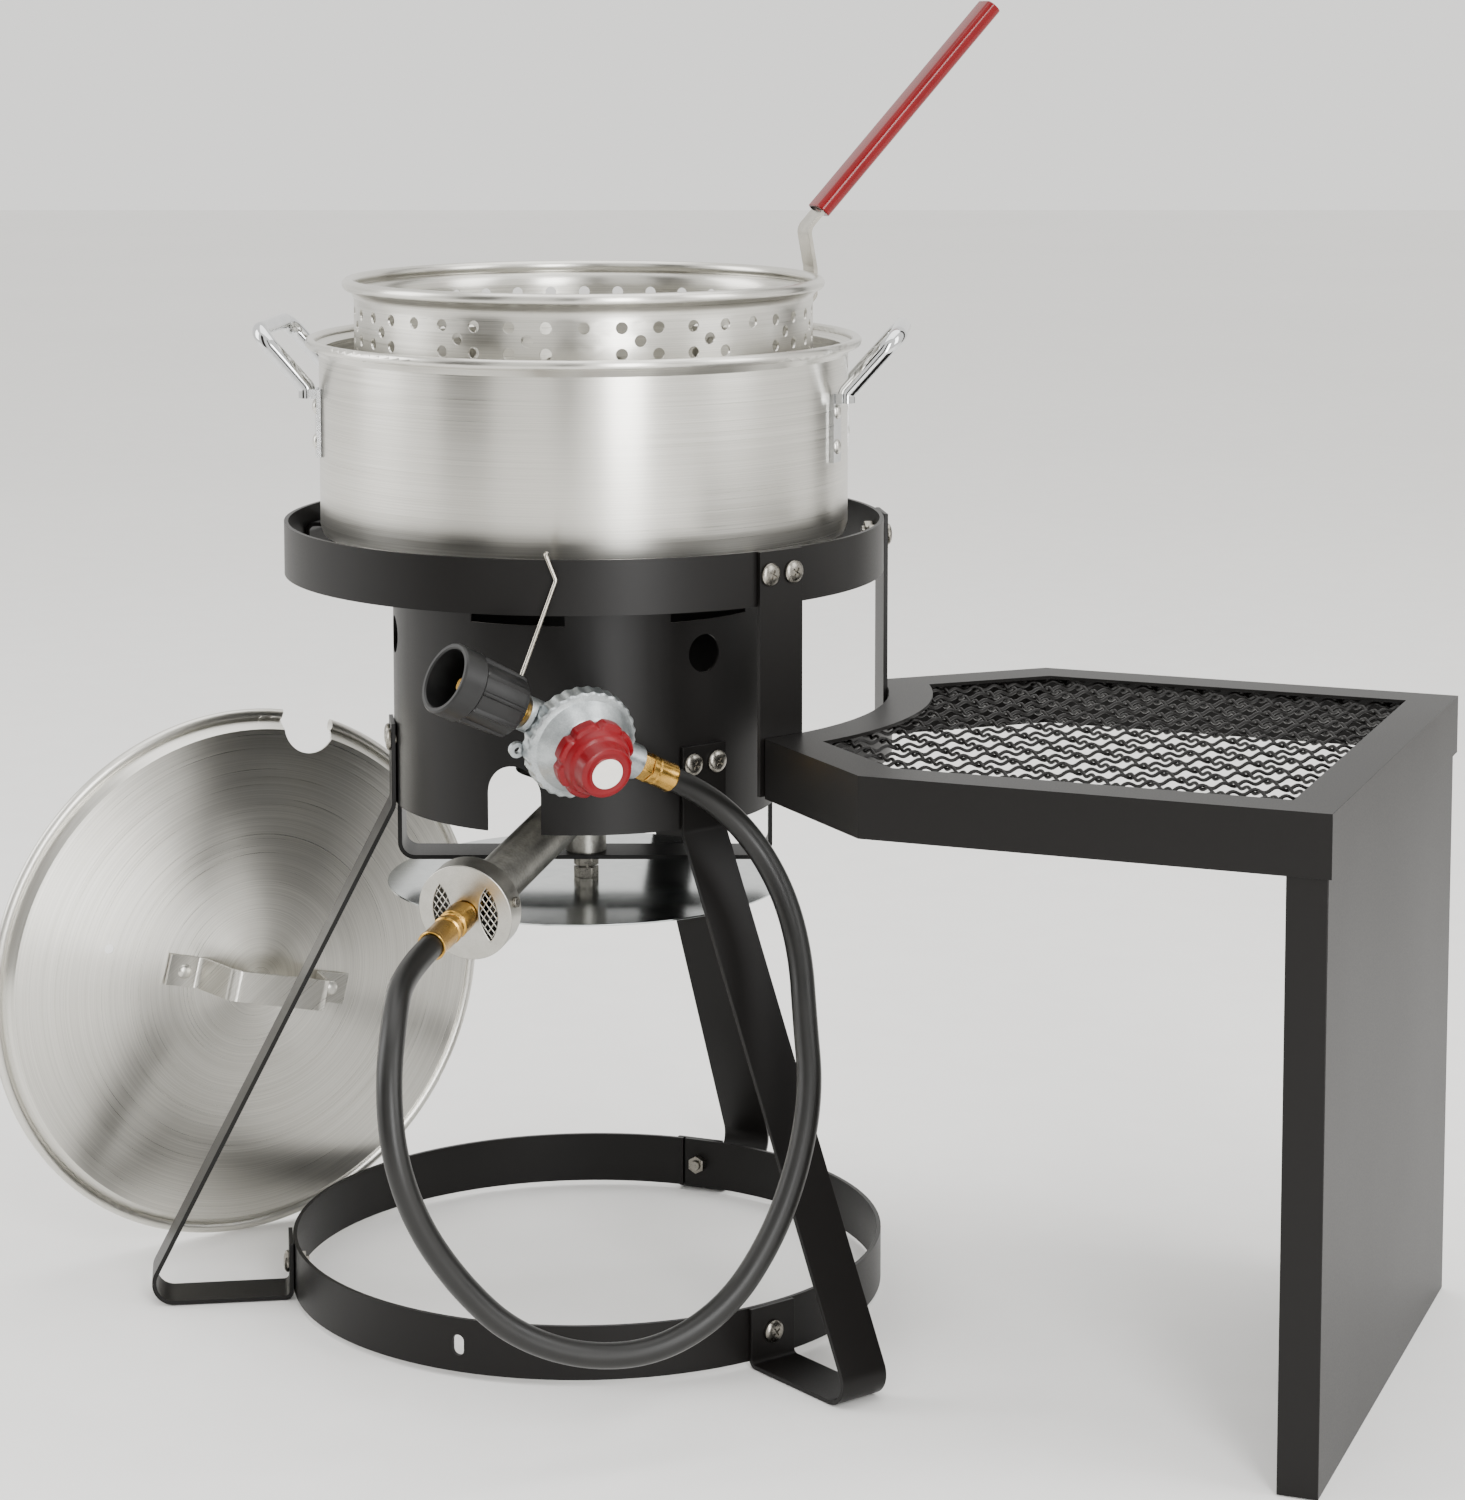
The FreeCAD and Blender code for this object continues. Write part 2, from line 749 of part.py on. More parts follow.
def burner_shape():
    """The iron casting: bell, venturi, elbow, foot and round head with its ports."""
    bell = Part.makeCylinder(size("bell_radius"), 13, Vector(0, 0, -9))
    throat = Part.makeCone(size("venturi_radius - 1"), size("bell_radius"), 18, Vector(0, 0, -27))
    tube = Part.makeCylinder(size("venturi_radius"), venturi_length, Vector(0, 0, -venturi_length))
    pipe = bell.fuse([throat, tube])
    pipe.Placement = shutter_place
    foot_base = size("bracket_level + strip_gauge / 2")
    foot = Part.makeCylinder(12, size("head_base") - foot_base, Vector(0, 0, foot_base))
    elbow = Part.makeSphere(size("venturi_radius + 1.5"), Vector(0, 0, centre_level))
    riser = Part.makeCylinder(size("venturi_radius"), size("head_base") + 4 - centre_level,
                              Vector(0, 0, centre_level))
    base = Vector(0, 0, size("head_base"))
    cone = Part.makeCone(size("venturi_radius + 4"), size("head_radius"), size("head_height / 2"), base)
    cap_base = base + Vector(0, 0, size("head_height / 2"))
    cap = Part.makeCone(size("head_radius"), size("head_radius - 8"), size("head_height / 2"), cap_base)
    casting = pipe.fuse([foot, elbow, riser, cone, cap])
    hollow = Part.makeCylinder(size("bell_radius - bell_wall"), 12, Vector(0, 0, -7))
    bore = Part.makeCylinder(size("venturi_bore"), venturi_length, Vector(0, 0, -venturi_length))
    passage = hollow.fuse(bore)
    passage.Placement = shutter_place
    cast_bore = Part.makeCylinder(size("venturi_bore"), size("head_base") + 8 - centre_level,
                                  Vector(0, 0, centre_level))
    stud_bore = Part.makeCylinder(size("stud_radius"), 20 - size("strip_gauge / 2"),
                                  Vector(0, 0, foot_base))
    ports = []
    for row, (reach, count) in enumerate(((30, 24), (20, 16), (10, 8))):
        for step in range(count):
            spot = Rotation(UP, 360 * (step + row / 2) / count).multVec(Vector(reach, 0, 0))
            ports.append(Part.makeCylinder(size("port_radius"), 8, spot + Vector(
                0, 0, size("head_base + head_height - 5"))))
    return casting.cut([passage, cast_bore, stud_bore] + ports).removeSplitter()


solid("burner_casting", burner_shape())

window_reach = size("window_length / 2")
window_half = size("window_width / 2")
lens_radius = (window_reach ** 2 + window_half ** 2) / (2 * window_half)


def lens(side):
    """A tall window with pointed ends, from two overlapping round cutters."""
    shift = lens_radius - window_half
    centre = side * size("window_offset")
    left = Part.makeCylinder(lens_radius, 12, Vector(centre - shift, 0, 0))
    right = Part.makeCylinder(lens_radius, 12, Vector(centre + shift, 0, 0))
    return left.common(right)


shutter_blank = turned([
    ("orifice_radius + body_clearance", "shutter_depth / 2 - shutter_gauge"),
    ("shutter_radius - shutter_gauge", "shutter_depth / 2 - shutter_gauge"),
    ("shutter_radius - shutter_gauge", "-shutter_depth / 2"),
    ("shutter_radius", "-shutter_depth / 2"),
    ("shutter_radius", "shutter_depth / 2"),
    ("orifice_radius + body_clearance", "shutter_depth / 2"),
], shutter_place)
lens_cutters = []
for side in (-1, 1):
    cutter = doc.addObject("Part::Feature", "lens")
    cutter.Shape = lens(side)
    cutter.Placement = shutter_place
    lens_cutters.append(cutter)
node("air_shutter", cut(shutter_blank, *lens_cutters))

node("shutter_screen", turned([
    ("orifice_radius", "shutter_depth / 2 - shutter_gauge - 1.3"),
    ("bell_radius", "shutter_depth / 2 - shutter_gauge - 1.3"),
    ("bell_radius", "shutter_depth / 2 - shutter_gauge - 0.3"),
    ("orifice_radius", "shutter_depth / 2 - shutter_gauge - 0.3"),
], shutter_place))

screw_spot = shutter_place * Placement(Vector(), Rotation(UP, 12) * Rotation(Vector(0, 1, 0), 90))
shutter_screw_head = cylinder("screw_radius", "2", screw_spot, "shutter_radius")
node("shutter_screw", shutter_screw_head)

node("orifice_fitting", turned([
    ("0", "-4"),
    ("orifice_radius", "-4"),
    ("orifice_radius", "shutter_depth / 2 + 3"),
    ("orifice_radius + 1.5", "shutter_depth / 2 + 4"),
    ("orifice_radius + 1.5", "orifice_reach - 5"),
    ("orifice_radius", "orifice_reach - 4"),
    ("orifice_radius", "orifice_reach"),
    ("0", "orifice_reach"),
], shutter_place))
node("hose_ferrule_burner", cylinder(
    "ferrule_radius", "burner_ferrule", shutter_place, "orifice_reach"))


# ---------------------------------------------------------------- regulator

valve_turn = turn(size("valve_azimuth"))
valve_along = valve_turn.multVec(Vector(size("cos(valve_dip)"), 0, size("-sin(valve_dip)")))
valve_level = valve_turn.multVec(Vector(0, 1, 0))
valve_right = Rotation(valve_along, -size("valve_roll")).multVec(valve_level)
valve_origin = Vector(size("valve_x"), size("valve_y"), size("valve_z"))
valve_place = facing(valve_origin, valve_along, valve_right)
line_origin = valve_origin - valve_along * size("gas_line")
outlet_place = facing(line_origin, valve_right, valve_along)
inlet_place = facing(line_origin, valve_right * -1, valve_along)


def valve_body_shape():
    """The die-cast lower case with its two necks and a sealing lug."""
    depth = size("case_depth")
    top = size("-rim_depth / 2 - membrane_gauge / 2")
    low_radius = size("case_radius - case_taper")
    case = Part.makeCone(low_radius, size("case_radius"), depth, Vector(0, 0, top - depth))
    chamber_depth = size("chamber_depth")
    chamber = Part.makeCylinder(
        size("case_radius - case_wall"), chamber_depth, Vector(0, 0, top - chamber_depth))
    inlet = Part.makeCylinder(size("neck_radius"), size("inlet_neck"))
    outlet = Part.makeCylinder(size("neck_radius"), size("outlet_neck"))
    inlet.Placement = valve_place.inverse() * inlet_place
    outlet.Placement = valve_place.inverse() * outlet_place
    angle = math.radians(size("lug_azimuth"))
    reach = size("rim_radius + lug_eye")
    seam = size("-rim_depth / 2 - rim_lap - body_clearance")
    gauge = size("lug_gauge")
    width = size("lug_width")
    spot = Vector(reach * math.cos(angle), reach * math.sin(angle), seam - gauge)
    arm = Part.makeBox(size("lug_length"), width, gauge, Vector(-size("lug_length"), -width / 2, 0))
    arm.Placement = Placement(spot, Rotation(UP, size("lug_azimuth")))
    lug = Part.makeCylinder(size("lug_radius"), gauge, spot).fuse(arm)
    eye = Part.makeCylinder(size("lug_eye"), gauge * 2, spot - Vector(0, 0, gauge / 2))
    above = size("rim_radius + nut_end")
    bonnet_room = Part.makeCylinder(size("rim_radius + body_clearance"), above, Vector(0, 0, seam))
    bonnet_room = bonnet_room.cut(Part.makeCylinder(size("case_radius"), top - seam, Vector(0, 0, seam)))
    shape = case.fuse([inlet, outlet, lug]).cut([chamber, eye, bonnet_room])
    return shape.removeSplitter()


solid("regulator_body", valve_body_shape(), valve_place)

membrane_base = "-rim_depth / 2 - membrane_gauge / 2"
membrane_top = "-rim_depth / 2 + membrane_gauge / 2"
node("diaphragm", turned([
    ("0", membrane_base),
    ("case_radius", membrane_base),
    ("case_radius", membrane_top),
    ("0", membrane_top),
], valve_place))

node("regulator_bonnet", turned([
    ("case_radius - 6", membrane_top),
    ("case_radius + 0.2", membrane_top),
    ("case_radius + 0.2", "-rim_depth / 2 - 3"),
    ("rim_radius", "-rim_depth / 2 - 3"),
    ("rim_radius", "rim_depth / 2"),
    ("case_radius - 2", "rim_depth / 2 + 1"),
    ("dome_radius + 4", "dome_height - 3"),
    ("dome_radius", "dome_height"),
    ("stem_radius + body_clearance", "dome_height"),
    ("stem_radius + body_clearance", "dome_height - 3"),
    ("dome_radius - 3", "dome_height - 3"),
    ("dome_radius - 3", "rim_depth / 2 - 1"),
    ("case_radius - 6", "0"),
], valve_place))


def spring_shape():
    """Round wire wound from the diaphragm up to the knob's stem."""
    wire = size("spring_wire")
    coil = size("spring_radius")
    turns = int(size("spring_turns"))
    steps = 8
    base = size(membrane_top) + wire
    rise = size("dome_height - 3") - wire - base
    points = []
    for step in range(turns * steps + 1):
        angle = 2 * math.pi * step / steps
        level = base + rise * step / (turns * steps)
        points.append(Vector(coil * math.cos(angle), coil * math.sin(angle), level))
    run = points[0].distanceToPoint(points[1])
    bend = 0.45 * run / math.tan(math.pi / steps)
    return round_bar(points, [bend] * (len(points) - 2), wire)


solid("adjusting_spring", spring_shape(), valve_place)

node("adjusting_knob", turned([
    ("0", "dome_height - 3 + body_clearance"),
    ("stem_radius", "dome_height - 3 + body_clearance"),
    ("stem_radius", "dome_height + 3"),
    ("dome_radius + 2", "dome_height + 3"),
    ("dome_radius + 2", "knob_base"),
    ("knob_radius", "knob_base"),
    ("knob_radius", "knob_base + 8"),
    ("knob_face + 3", "knob_base + 12"),
    ("knob_face", "knob_top - 2"),
    ("knob_face - 2", "knob_top"),
    ("0", "knob_top"),
], valve_place))
node("knob_label", cylinder("label_radius", "0.3", valve_place, "knob_top"))

node("inlet_nipple", turned([
    ("0", "inlet_neck"),
    ("nipple_radius", "inlet_neck"),
    ("nipple_radius", "nut_start + nut_floor + 0.5"),
    ("nipple_radius + 3", "nut_start + nut_floor + 0.5"),
    ("nipple_radius + 3", "nut_start + nut_floor + 4"),
    ("nipple_radius - 0.5", "nut_start + nut_floor + 4"),
    ("nipple_radius - 0.5", "nut_start + nut_floor + 16"),
    ("probe_radius", "nut_start + nut_floor + 18"),
    ("probe_radius", "probe_end"),
    ("0", "probe_end"),
], inlet_place))
node("cylinder_nut", turned([
    ("nipple_radius + body_clearance", "nut_start"),
    ("nut_radius - 2", "nut_start"),
    ("nut_radius", "nut_start + 3"),
    ("nut_radius", "nut_end"),
    ("nut_bore", "nut_end"),
    ("nut_bore", "nut_start + nut_floor"),
    ("nipple_radius + body_clearance", "nut_start + nut_floor"),
], inlet_place))

node("outlet_fitting", nut_prism("hex_flats", "hex_length", outlet_place, "outlet_neck"))
node("hose_ferrule_regulator", cylinder(
    "ferrule_radius", "valve_ferrule", outlet_place, "outlet_neck + hex_length"))


# ---------------------------------------------------------------- hanger wire

def hanger_wire():
    """A bent wire hook from the top ring's edge to the regulator's inlet nipple."""
    wire = size("wire_radius")
    spin = turn(size("wire_azimuth"))
    over = size("top_ring_base + strip_width") + wire + 0.3
    inside = size("ring_radius - strip_gauge") - wire - 0.4
    outside = size("ring_radius") + wire + 0.9
    neck = inlet_place.multVec(Vector(0, 0, size("inlet_neck + nut_start") / 2))
    along = inlet_place.Rotation.multVec(UP)
    behind = along.cross(UP).normalize()
    above = behind.cross(along).normalize()
    gap = size("nipple_radius") + wire + 0.4
    points = [
        spin.multVec(Vector(inside, 0, over - 16)),
        spin.multVec(Vector(inside, 0, over + 2)),
        spin.multVec(Vector(outside, 0, over + 2)),
        spin.multVec(Vector(outside + 2, 6, over - 12)),
        neck + behind * gap + above * 16,
        neck + behind * gap - above * gap,
        neck - behind * gap - above * gap,
        neck - behind * gap + above * 4,
    ]
    bends = [1.6, 1.6, 3, 6, 6, 6]
    return round_bar(points, bends, wire)


solid("hanger_wire", hanger_wire())


# ---------------------------------------------------------------- hose

burner_exit = burner_origin + burner_along * size("orifice_reach + burner_ferrule")
valve_exit = line_origin + valve_right * size("outlet_neck + hex_length + valve_ferrule")

# The hose hangs from the two ferrules in one long loop in front of the stand.
HOSE_POINTS = [
    burner_exit,
    burner_exit + burner_along * 38,
    Vector(-90, -280, 237),
    Vector(-91, -305, 209),
    Vector(-87, -316, 174),
    Vector(-75, -313, 137),
    Vector(-54, -306, 103),
    Vector(-28, -299, 75),
    Vector(9, -289, 58),
    Vector(49, -275, 56),
    Vector(85, -258, 74),
    Vector(109, -238, 105),
    Vector(124, -214, 139),
    Vector(131, -190, 173),
    Vector(128, -166, 206),
    Vector(126, -142, 236),
    Vector(118, -126, 265),
    Vector(104, -119, 291),
    Vector(87, -121, 312),
    valve_exit + valve_right * 20,
    valve_exit,
]


def hose_bends(points):
    bends = []
    for before, corner, after in zip(points, points[1:], points[2:]):
        first = corner - before
        second = after - corner
        shorter = min(first.Length, second.Length)
        bends.append(0.45 * shorter / math.tan(first.getAngle(second) / 2))
    return bends


bend_radii = hose_bends(HOSE_POINTS)
print("hose bend radii", [round(radius) for radius in bend_radii])
hose_line = route(HOSE_POINTS, bend_radii)
hose_shape = round_bar(HOSE_POINTS, bend_radii, size("hose_radius"))
hose_section = math.pi * size("hose_radius") ** 2
print("hose length", round(hose_line.Length, 1))
print("hose volume ratio", round(hose_shape.Volume / (hose_section * hose_line.Length), 4))
solid("hose", hose_shape)


# ---------------------------------------------------------------- side table

table_turn = Placement(Vector(), turn(size("table_azimuth")))
TABLE_OUTLINE = [
    ("table_tip", "-table_tip_half"),
    ("table_corner", "-table_half"),
    ("table_end", "-table_half"),
    ("table_end", "table_half"),
    ("table_corner", "table_half"),
    ("table_tip", "table_tip_half"),
]


def table_face(inset):
    """The table's outline, drawn in by inset, without the arc next to the stand."""
    points = [Vector(size(x), size(y), 0) for x, y in TABLE_OUTLINE]
    wire = Part.makePolygon(points + points[:1])
    if inset:
        wire = wire.makeOffset2D(-inset, join=2)
    return Part.Face(wire)


def table_prism(inset, base, height):
    """A prism on the outline, kept clear of the stand by the arc's radius and inset."""
    prism = table_face(inset).extrude(Vector(0, 0, height))
    arc = Part.makeCylinder(size("table_arc") + inset, height)
    shape = prism.cut(arc)
    shape.translate(Vector(0, 0, base))
    return shape


def table_frame_shape():
    skirt = size("table_skirt")
    gauge = size("table_gauge")
    base = size("table_level") - skirt
    outside = table_prism(0, base, skirt)
    cavity = table_prism(gauge, base, skirt - gauge)
    opening = table_prism(size("table_flange"), base, skirt)
    return outside.cut([cavity, opening]).removeSplitter()


def table_mesh_shape():
    """Two layers of straight wires under the flange, crossing as diamonds."""
    wire = size("mesh_wire")
    pitch = size("mesh_pitch")
    top = size("table_level - table_gauge")
    middle = Vector(size("table_tip + table_end") / 2, 0, 0)
    reach = size("table_end")
    room = table_prism(size("mesh_inset"), top - 3 * wire, 3 * wire)
    layers = []
    for angle, level in ((45, top - wire / 2), (-45, top - wire * 1.5)):
        along = Rotation(UP, angle).multVec(Vector(1, 0, 0))
        across = Rotation(UP, angle).multVec(Vector(0, 1, 0))
        count = int(reach / 2 / pitch)
        rods = []
        for step in range(-count, count + 1):
            start = middle + across * (step * pitch) - along * (reach / 2) + Vector(0, 0, level)
            rods.append(Part.makeCylinder(wire / 2, reach, start, along))
        layers += Part.makeCompound(rods).common(room).Solids
    return Part.makeCompound(layers)


solid("table_frame", table_frame_shape(), table_turn)
solid("table_mesh", table_mesh_shape(), table_turn)

panel_face = "table_end - table_gauge"
panel_half = "table_half - table_gauge"
panel_tail = f"{panel_face} - panel_return"
node("table_leg_panel", padded([
    (panel_tail, f"-({panel_half})"),
    (panel_face, f"-({panel_half})"),
    (panel_face, panel_half),
    (panel_tail, panel_half),
    (panel_tail, f"{panel_half} - panel_gauge"),
    (f"{panel_face} - panel_gauge", f"{panel_half} - panel_gauge"),
    (f"{panel_face} - panel_gauge", f"-({panel_half} - panel_gauge)"),
    (panel_tail, f"-({panel_half} - panel_gauge)"),
], "table_level - table_gauge", table_turn))

for name, azimuth in strap_azimuths.items():
    spin = turn(azimuth)
    foot = spin.multVec(Vector(size("ring_radius + strip_gauge / 2"), 0, size("strap_base")))
    strap = block("strip_gauge", "strip_width", "top_ring_base + strip_width - strap_base",
                  Placement(foot, spin))
    places = [p for p in strap_screw_places if abs(foot.x - p.Base.x) < size("strip_width")]
    node(f"hanger_strap_{name}", cut(strap, *ring_drills(places)))

solid("strap_screws", group([(pan_screw(screw_reach), place) for place in strap_screw_places]))
solid("strap_nuts", group([(hex_nut(top_nut_face), place) for place in strap_screw_places]))


# ---------------------------------------------------------------- pot

pot_base = "rest_level + body_clearance"
pot_rim = f"{pot_base} + pot_height - pot_bead"
pot = turned([
    ("0", pot_base),
    ("pot_radius - pot_corner", pot_base),
    ("pot_radius - pot_corner / 4", f"{pot_base} + pot_corner / 4"),
    ("pot_radius", f"{pot_base} + pot_corner"),
    ("pot_radius", f"{pot_rim} - pot_flare - 2"),
    ("pot_radius + pot_flare", f"{pot_rim} - 1"),
    ("pot_radius + pot_flare", f"{pot_rim} + 1"),
    ("pot_radius - pot_wall", f"{pot_rim} - pot_flare + 1"),
    ("pot_radius - pot_wall", f"{pot_base} + pot_corner"),
    ("pot_radius - pot_corner", f"{pot_base} + pot_floor"),
    ("0", f"{pot_base} + pot_floor"),
])
add_bead(pot, "pot_radius + pot_flare", pot_rim, "pot_bead")

side_angle = math.degrees(math.asin(size("pot_grip_half / pot_radius")))
pot_rivet_places = []
for azimuth in (size("pot_grip_azimuth"), size("pot_grip_azimuth") + 180):
    for sign in (-1, 1):
        for step in (0, 1):
            level = size("rivet_level") + step * size("rivet_step")
            reach = size("pot_radius + grip_leg_gauge")
            pot_rivet_places.append(outward(azimuth + sign * side_angle, reach, level))
node("pot_body", cut(pot, *ring_drills(pot_rivet_places, "rivet_radius")))


def pot_handle_shape():
    """A loop that stands up and out from two riveted legs."""
    gauge = size("grip_leg_gauge")
    radius = size("pot_radius")
    low = size("grip_leg_base")
    top = size("grip_leg_top")
    bar = size("pot_grip_radius")
    half = size("pot_grip_half")
    root = math.sqrt(radius ** 2 - half ** 2) + gauge + bar
    reach = size("pot_grip_reach")
    rise = top + size("pot_grip_rise")
    root_level = size("rivet_level + rivet_step + rivet_head + body_clearance")
    points = [Vector(root, -half, root_level), Vector(root, -half, top), Vector(reach, -half, rise),
              Vector(reach, half, rise), Vector(root, half, top), Vector(root, half, root_level)]
    loop = round_bar(points, [4, 12, 12, 4], bar)
    legs = []
    for sign in (-1, 1):
        spin = turn(sign * side_angle)
        leg = Part.makeBox(gauge, size("grip_leg_width"), top - low,
                           Vector(radius, size("-grip_leg_width / 2"), low))
        pad = Part.makeBox(bar, 2 * bar, top - root_level, Vector(radius + gauge - 0.5, -bar, root_level))
        leg = leg.fuse(pad)
        leg.Placement = Placement(Vector(), spin)
        legs.append(leg)
    shape = loop.fuse(legs)
    drills = []
    for sign in (-1, 1):
        for step in (0, 1):
            level = size("rivet_level") + step * size("rivet_step")
            drills.append(hole(outward(sign * side_angle, radius, level), size("rivet_radius"), 10))
    return shape.cut(drills).removeSplitter()


for name, extra in (("right", 0), ("left", 180)):
    place = Placement(Vector(), turn(size("pot_grip_azimuth") + extra))
    solid(f"pot_handle_{name}", pot_handle_shape(), place)
pot_rivet = rivet(size("grip_leg_gauge + pot_wall") + head_seat(size("pot_radius - pot_wall")))
solid("pot_rivets", group([(pot_rivet, place) for place in pot_rivet_places]))


# ---------------------------------------------------------------- basket

basket_base = f"{pot_base} + pot_floor + body_clearance"
basket_rim = f"{basket_base} + basket_height - basket_bead"
basket = turned([
    ("0", basket_base),
    ("basket_radius - 6", basket_base),
    ("basket_radius", f"{basket_base} + 6"),
    ("basket_radius", f"{basket_rim} - 6"),
    ("basket_radius + basket_flare", f"{basket_rim} - 1"),
    ("basket_radius + basket_flare", f"{basket_rim} + 1"),
    ("basket_radius - basket_wall", f"{basket_rim} - 5"),
    ("basket_radius - basket_wall", f"{basket_base} + 6"),
    ("basket_radius - 6", f"{basket_base} + basket_wall"),
    ("0", f"{basket_base} + basket_wall"),
])
add_bead(basket, "basket_radius + basket_flare", basket_rim, "basket_bead")

strap_outer = size("basket_radius + handle_gauge")
basket_rivet_places = []
for step in (0, 1):
    level = size("handle_base + 8") + step * size("basket_rivet_step")
    basket_rivet_places.append(outward(size("basket_handle_azimuth"), strap_outer, level))
node("basket_body", cut(basket, *ring_drills(basket_rivet_places, "rivet_radius")))

handle_flat = size("basket_radius + handle_gauge / 2")
handle_clear = size("basket_radius + basket_flare + basket_bead + handle_gauge / 2 + 0.5")
slope = math.radians(size("handle_slope"))
handle_end = size("grip_start + grip_length - 6")
handle_knee = (size("handle_knee_radius"), size("handle_knee"))
handle_tip = (handle_knee[0] + handle_end * math.cos(slope), handle_knee[1] + handle_end * math.sin(slope))


def basket_handle_shape():
    corners = [
        (handle_flat, size("handle_base")),
        (handle_flat, size("handle_jog")),
        (handle_clear, size("handle_jog + 10")),
        (handle_clear, size("handle_jog + 26")),
        handle_knee,
        handle_tip,
    ]
    strip = bent_strip(corners, [4, 4, 12, 8], size("handle_width"), size("handle_gauge"))
    drills = []
    for step in (0, 1):
        level = size("handle_base + 8") + step * size("basket_rivet_step")
        drills.append(hole(outward(0, handle_flat, level), size("rivet_radius"), 10))
    return strip.cut(drills)


def basket_grip_shape():
    """The dipped sleeve over the strap's upper run."""
    start = size("grip_start")
    length = size("grip_length")
    width = size("grip_width")
    depth = size("grip_depth")
    sleeve = Part.makeBox(depth, width, length, Vector(-depth / 2, -width / 2, start))
    ends = [edge for edge in sleeve.Edges if abs(edge.Curve.Direction.z) > 0.9]
    sleeve = sleeve.makeFillet(depth * 0.45, ends)
    pocket = Part.makeBox(size("handle_gauge"), size("handle_width"), size("grip_length - 6"),
                          Vector(size("-handle_gauge / 2"), size("-handle_width / 2"), start))
    return sleeve.cut(pocket)


handle_place = Placement(Vector(), turn(size("basket_handle_azimuth")))
handle_lean = Rotation(Vector(0, 1, 0), 90 - size("handle_slope"))
grip_place = handle_place * Placement(Vector(handle_knee[0], 0, handle_knee[1]), handle_lean)
solid("basket_handle", basket_handle_shape(), handle_place)
solid("basket_grip", basket_grip_shape(), grip_place)
basket_seat = head_seat(size("basket_radius - basket_wall"))
basket_rivet = rivet(size("handle_gauge + basket_wall") + basket_seat)
solid("basket_rivets", group([(basket_rivet, place) for place in basket_rivet_places]))


# ---------------------------------------------------------------- lid

lid_normal = turn(size("lid_azimuth")).multVec(Vector(1, 0, 0))
lid_right = turn(size("lid_azimuth")).multVec(Vector(0, 1, 0))
lid_place = facing(Vector(size("lid_x"), size("lid_y"), size("lid_radius")), lid_normal, lid_right)
lid_edge = "lid_radius - lid_bead"
lid = turned([
    ("0", "lid_rise - lid_wall"),
    (f"({lid_edge}) / 2", "lid_rise * 0.72 - lid_wall"),
    (f"{lid_edge} - 9", "lid_shoulder - lid_wall"),
    (f"{lid_edge} - 2", "-lid_wall / 2"),
    (lid_edge, "-lid_wall / 2"),
    (lid_edge, "lid_wall / 2"),
    (f"{lid_edge} - 2", "lid_wall / 2"),
    (f"{lid_edge} - 8", "lid_shoulder"),
    (f"({lid_edge}) / 2", "lid_rise * 0.72"),
    ("0", "lid_rise"),
], lid_place)
add_bead(lid, lid_edge, "0", "lid_bead")


def lid_spot(reach, angle, height=0):
    """A place over the lid at a distance and an angle from its centre."""
    radians = math.radians(angle)
    spot = Vector(reach * math.cos(radians), reach * math.sin(radians), height)
    return lid_place * Placement(spot, Rotation())


lid_handle_foot = size("lid_handle_half - lid_foot / 2")
lid_rivet_places = []
for step in (0, 180):
    angle = size("lid_handle_turn") + step
    reach_share = lid_handle_foot / size(f"({lid_edge}) / 2")
    level = size("lid_rise") * (1 - 0.28 * reach_share)
    lid_rivet_places.append(lid_spot(lid_handle_foot, angle, level + size("lid_handle_gauge + 0.8")))
notch = cylinder("notch_radius", "60", lid_spot(size("lid_radius - 6"), size("notch_angle"), -30))
steam = cylinder("steam_radius", "60", lid_spot(size("steam_reach"), size("steam_angle"), -30))
lid_drills = ring_drills(lid_rivet_places, "rivet_radius")
node("lid_shell", cut(lid, notch, steam, *lid_drills))


def lid_handle_shape():
    """A strap with two riveted feet and a raised middle."""
    half = size("lid_handle_half")
    foot = size("lid_foot")
    level = lid_place.inverse().multVec(lid_rivet_places[0].Base).z - size("lid_handle_gauge / 2")
    top = size("lid_rise + lid_handle_rise")
    corners = [(-half, level), (-half + foot, level), (-half + foot + 8, top),
               (half - foot - 8, top), (half - foot, level), (half, level)]
    bends = [5, 7, 7, 5]
    strap = bent_strip(corners, bends, size("lid_handle_width"), size("lid_handle_gauge"))
    drills = []
    for sign in (-1, 1):
        spot = Placement(Vector(sign * lid_handle_foot, 0, level), Rotation())
        drills.append(hole(spot, size("rivet_radius"), 10))
    return strap.cut(drills)


solid("lid_handle", lid_handle_shape(),
      lid_place * Placement(Vector(), Rotation(UP, size("lid_handle_turn"))))
lid_rivet = rivet(size("lid_handle_gauge + lid_wall + 1.4"))
solid("lid_rivets", group([(lid_rivet, place) for place in lid_rivet_places]))


# ---------------------------------------------------------------- build and write

doc.recompute()
failed = [item.Name for item in doc.Objects if {"Invalid", "Error"} & set(item.State)]
if failed:
    raise RuntimeError(f"objects that did not build: {failed}")
faulty = []
for name, thing in nodes.items():
    if thing.Shape.isNull() or not thing.Shape.isValid() or not thing.Shape.Solids:
        faulty.append(name)
if faulty:
    raise RuntimeError(f"nodes without a valid solid: {faulty}")

os.makedirs("parts", exist_ok=True)
for name, thing in nodes.items():
    thing.Shape.exportStep(os.path.join("parts", f"{name}.step"))
    box = thing.Shape.BoundBox
    low = [round(v, 1) for v in (box.XMin, box.YMin, box.ZMin)]
    high = [round(v, 1) for v in (box.XMax, box.YMax, box.ZMax)]
    print(f"{name:24s} solids {len(thing.Shape.Solids):3d}  {low}  {high}")
print(len(nodes), "nodes")
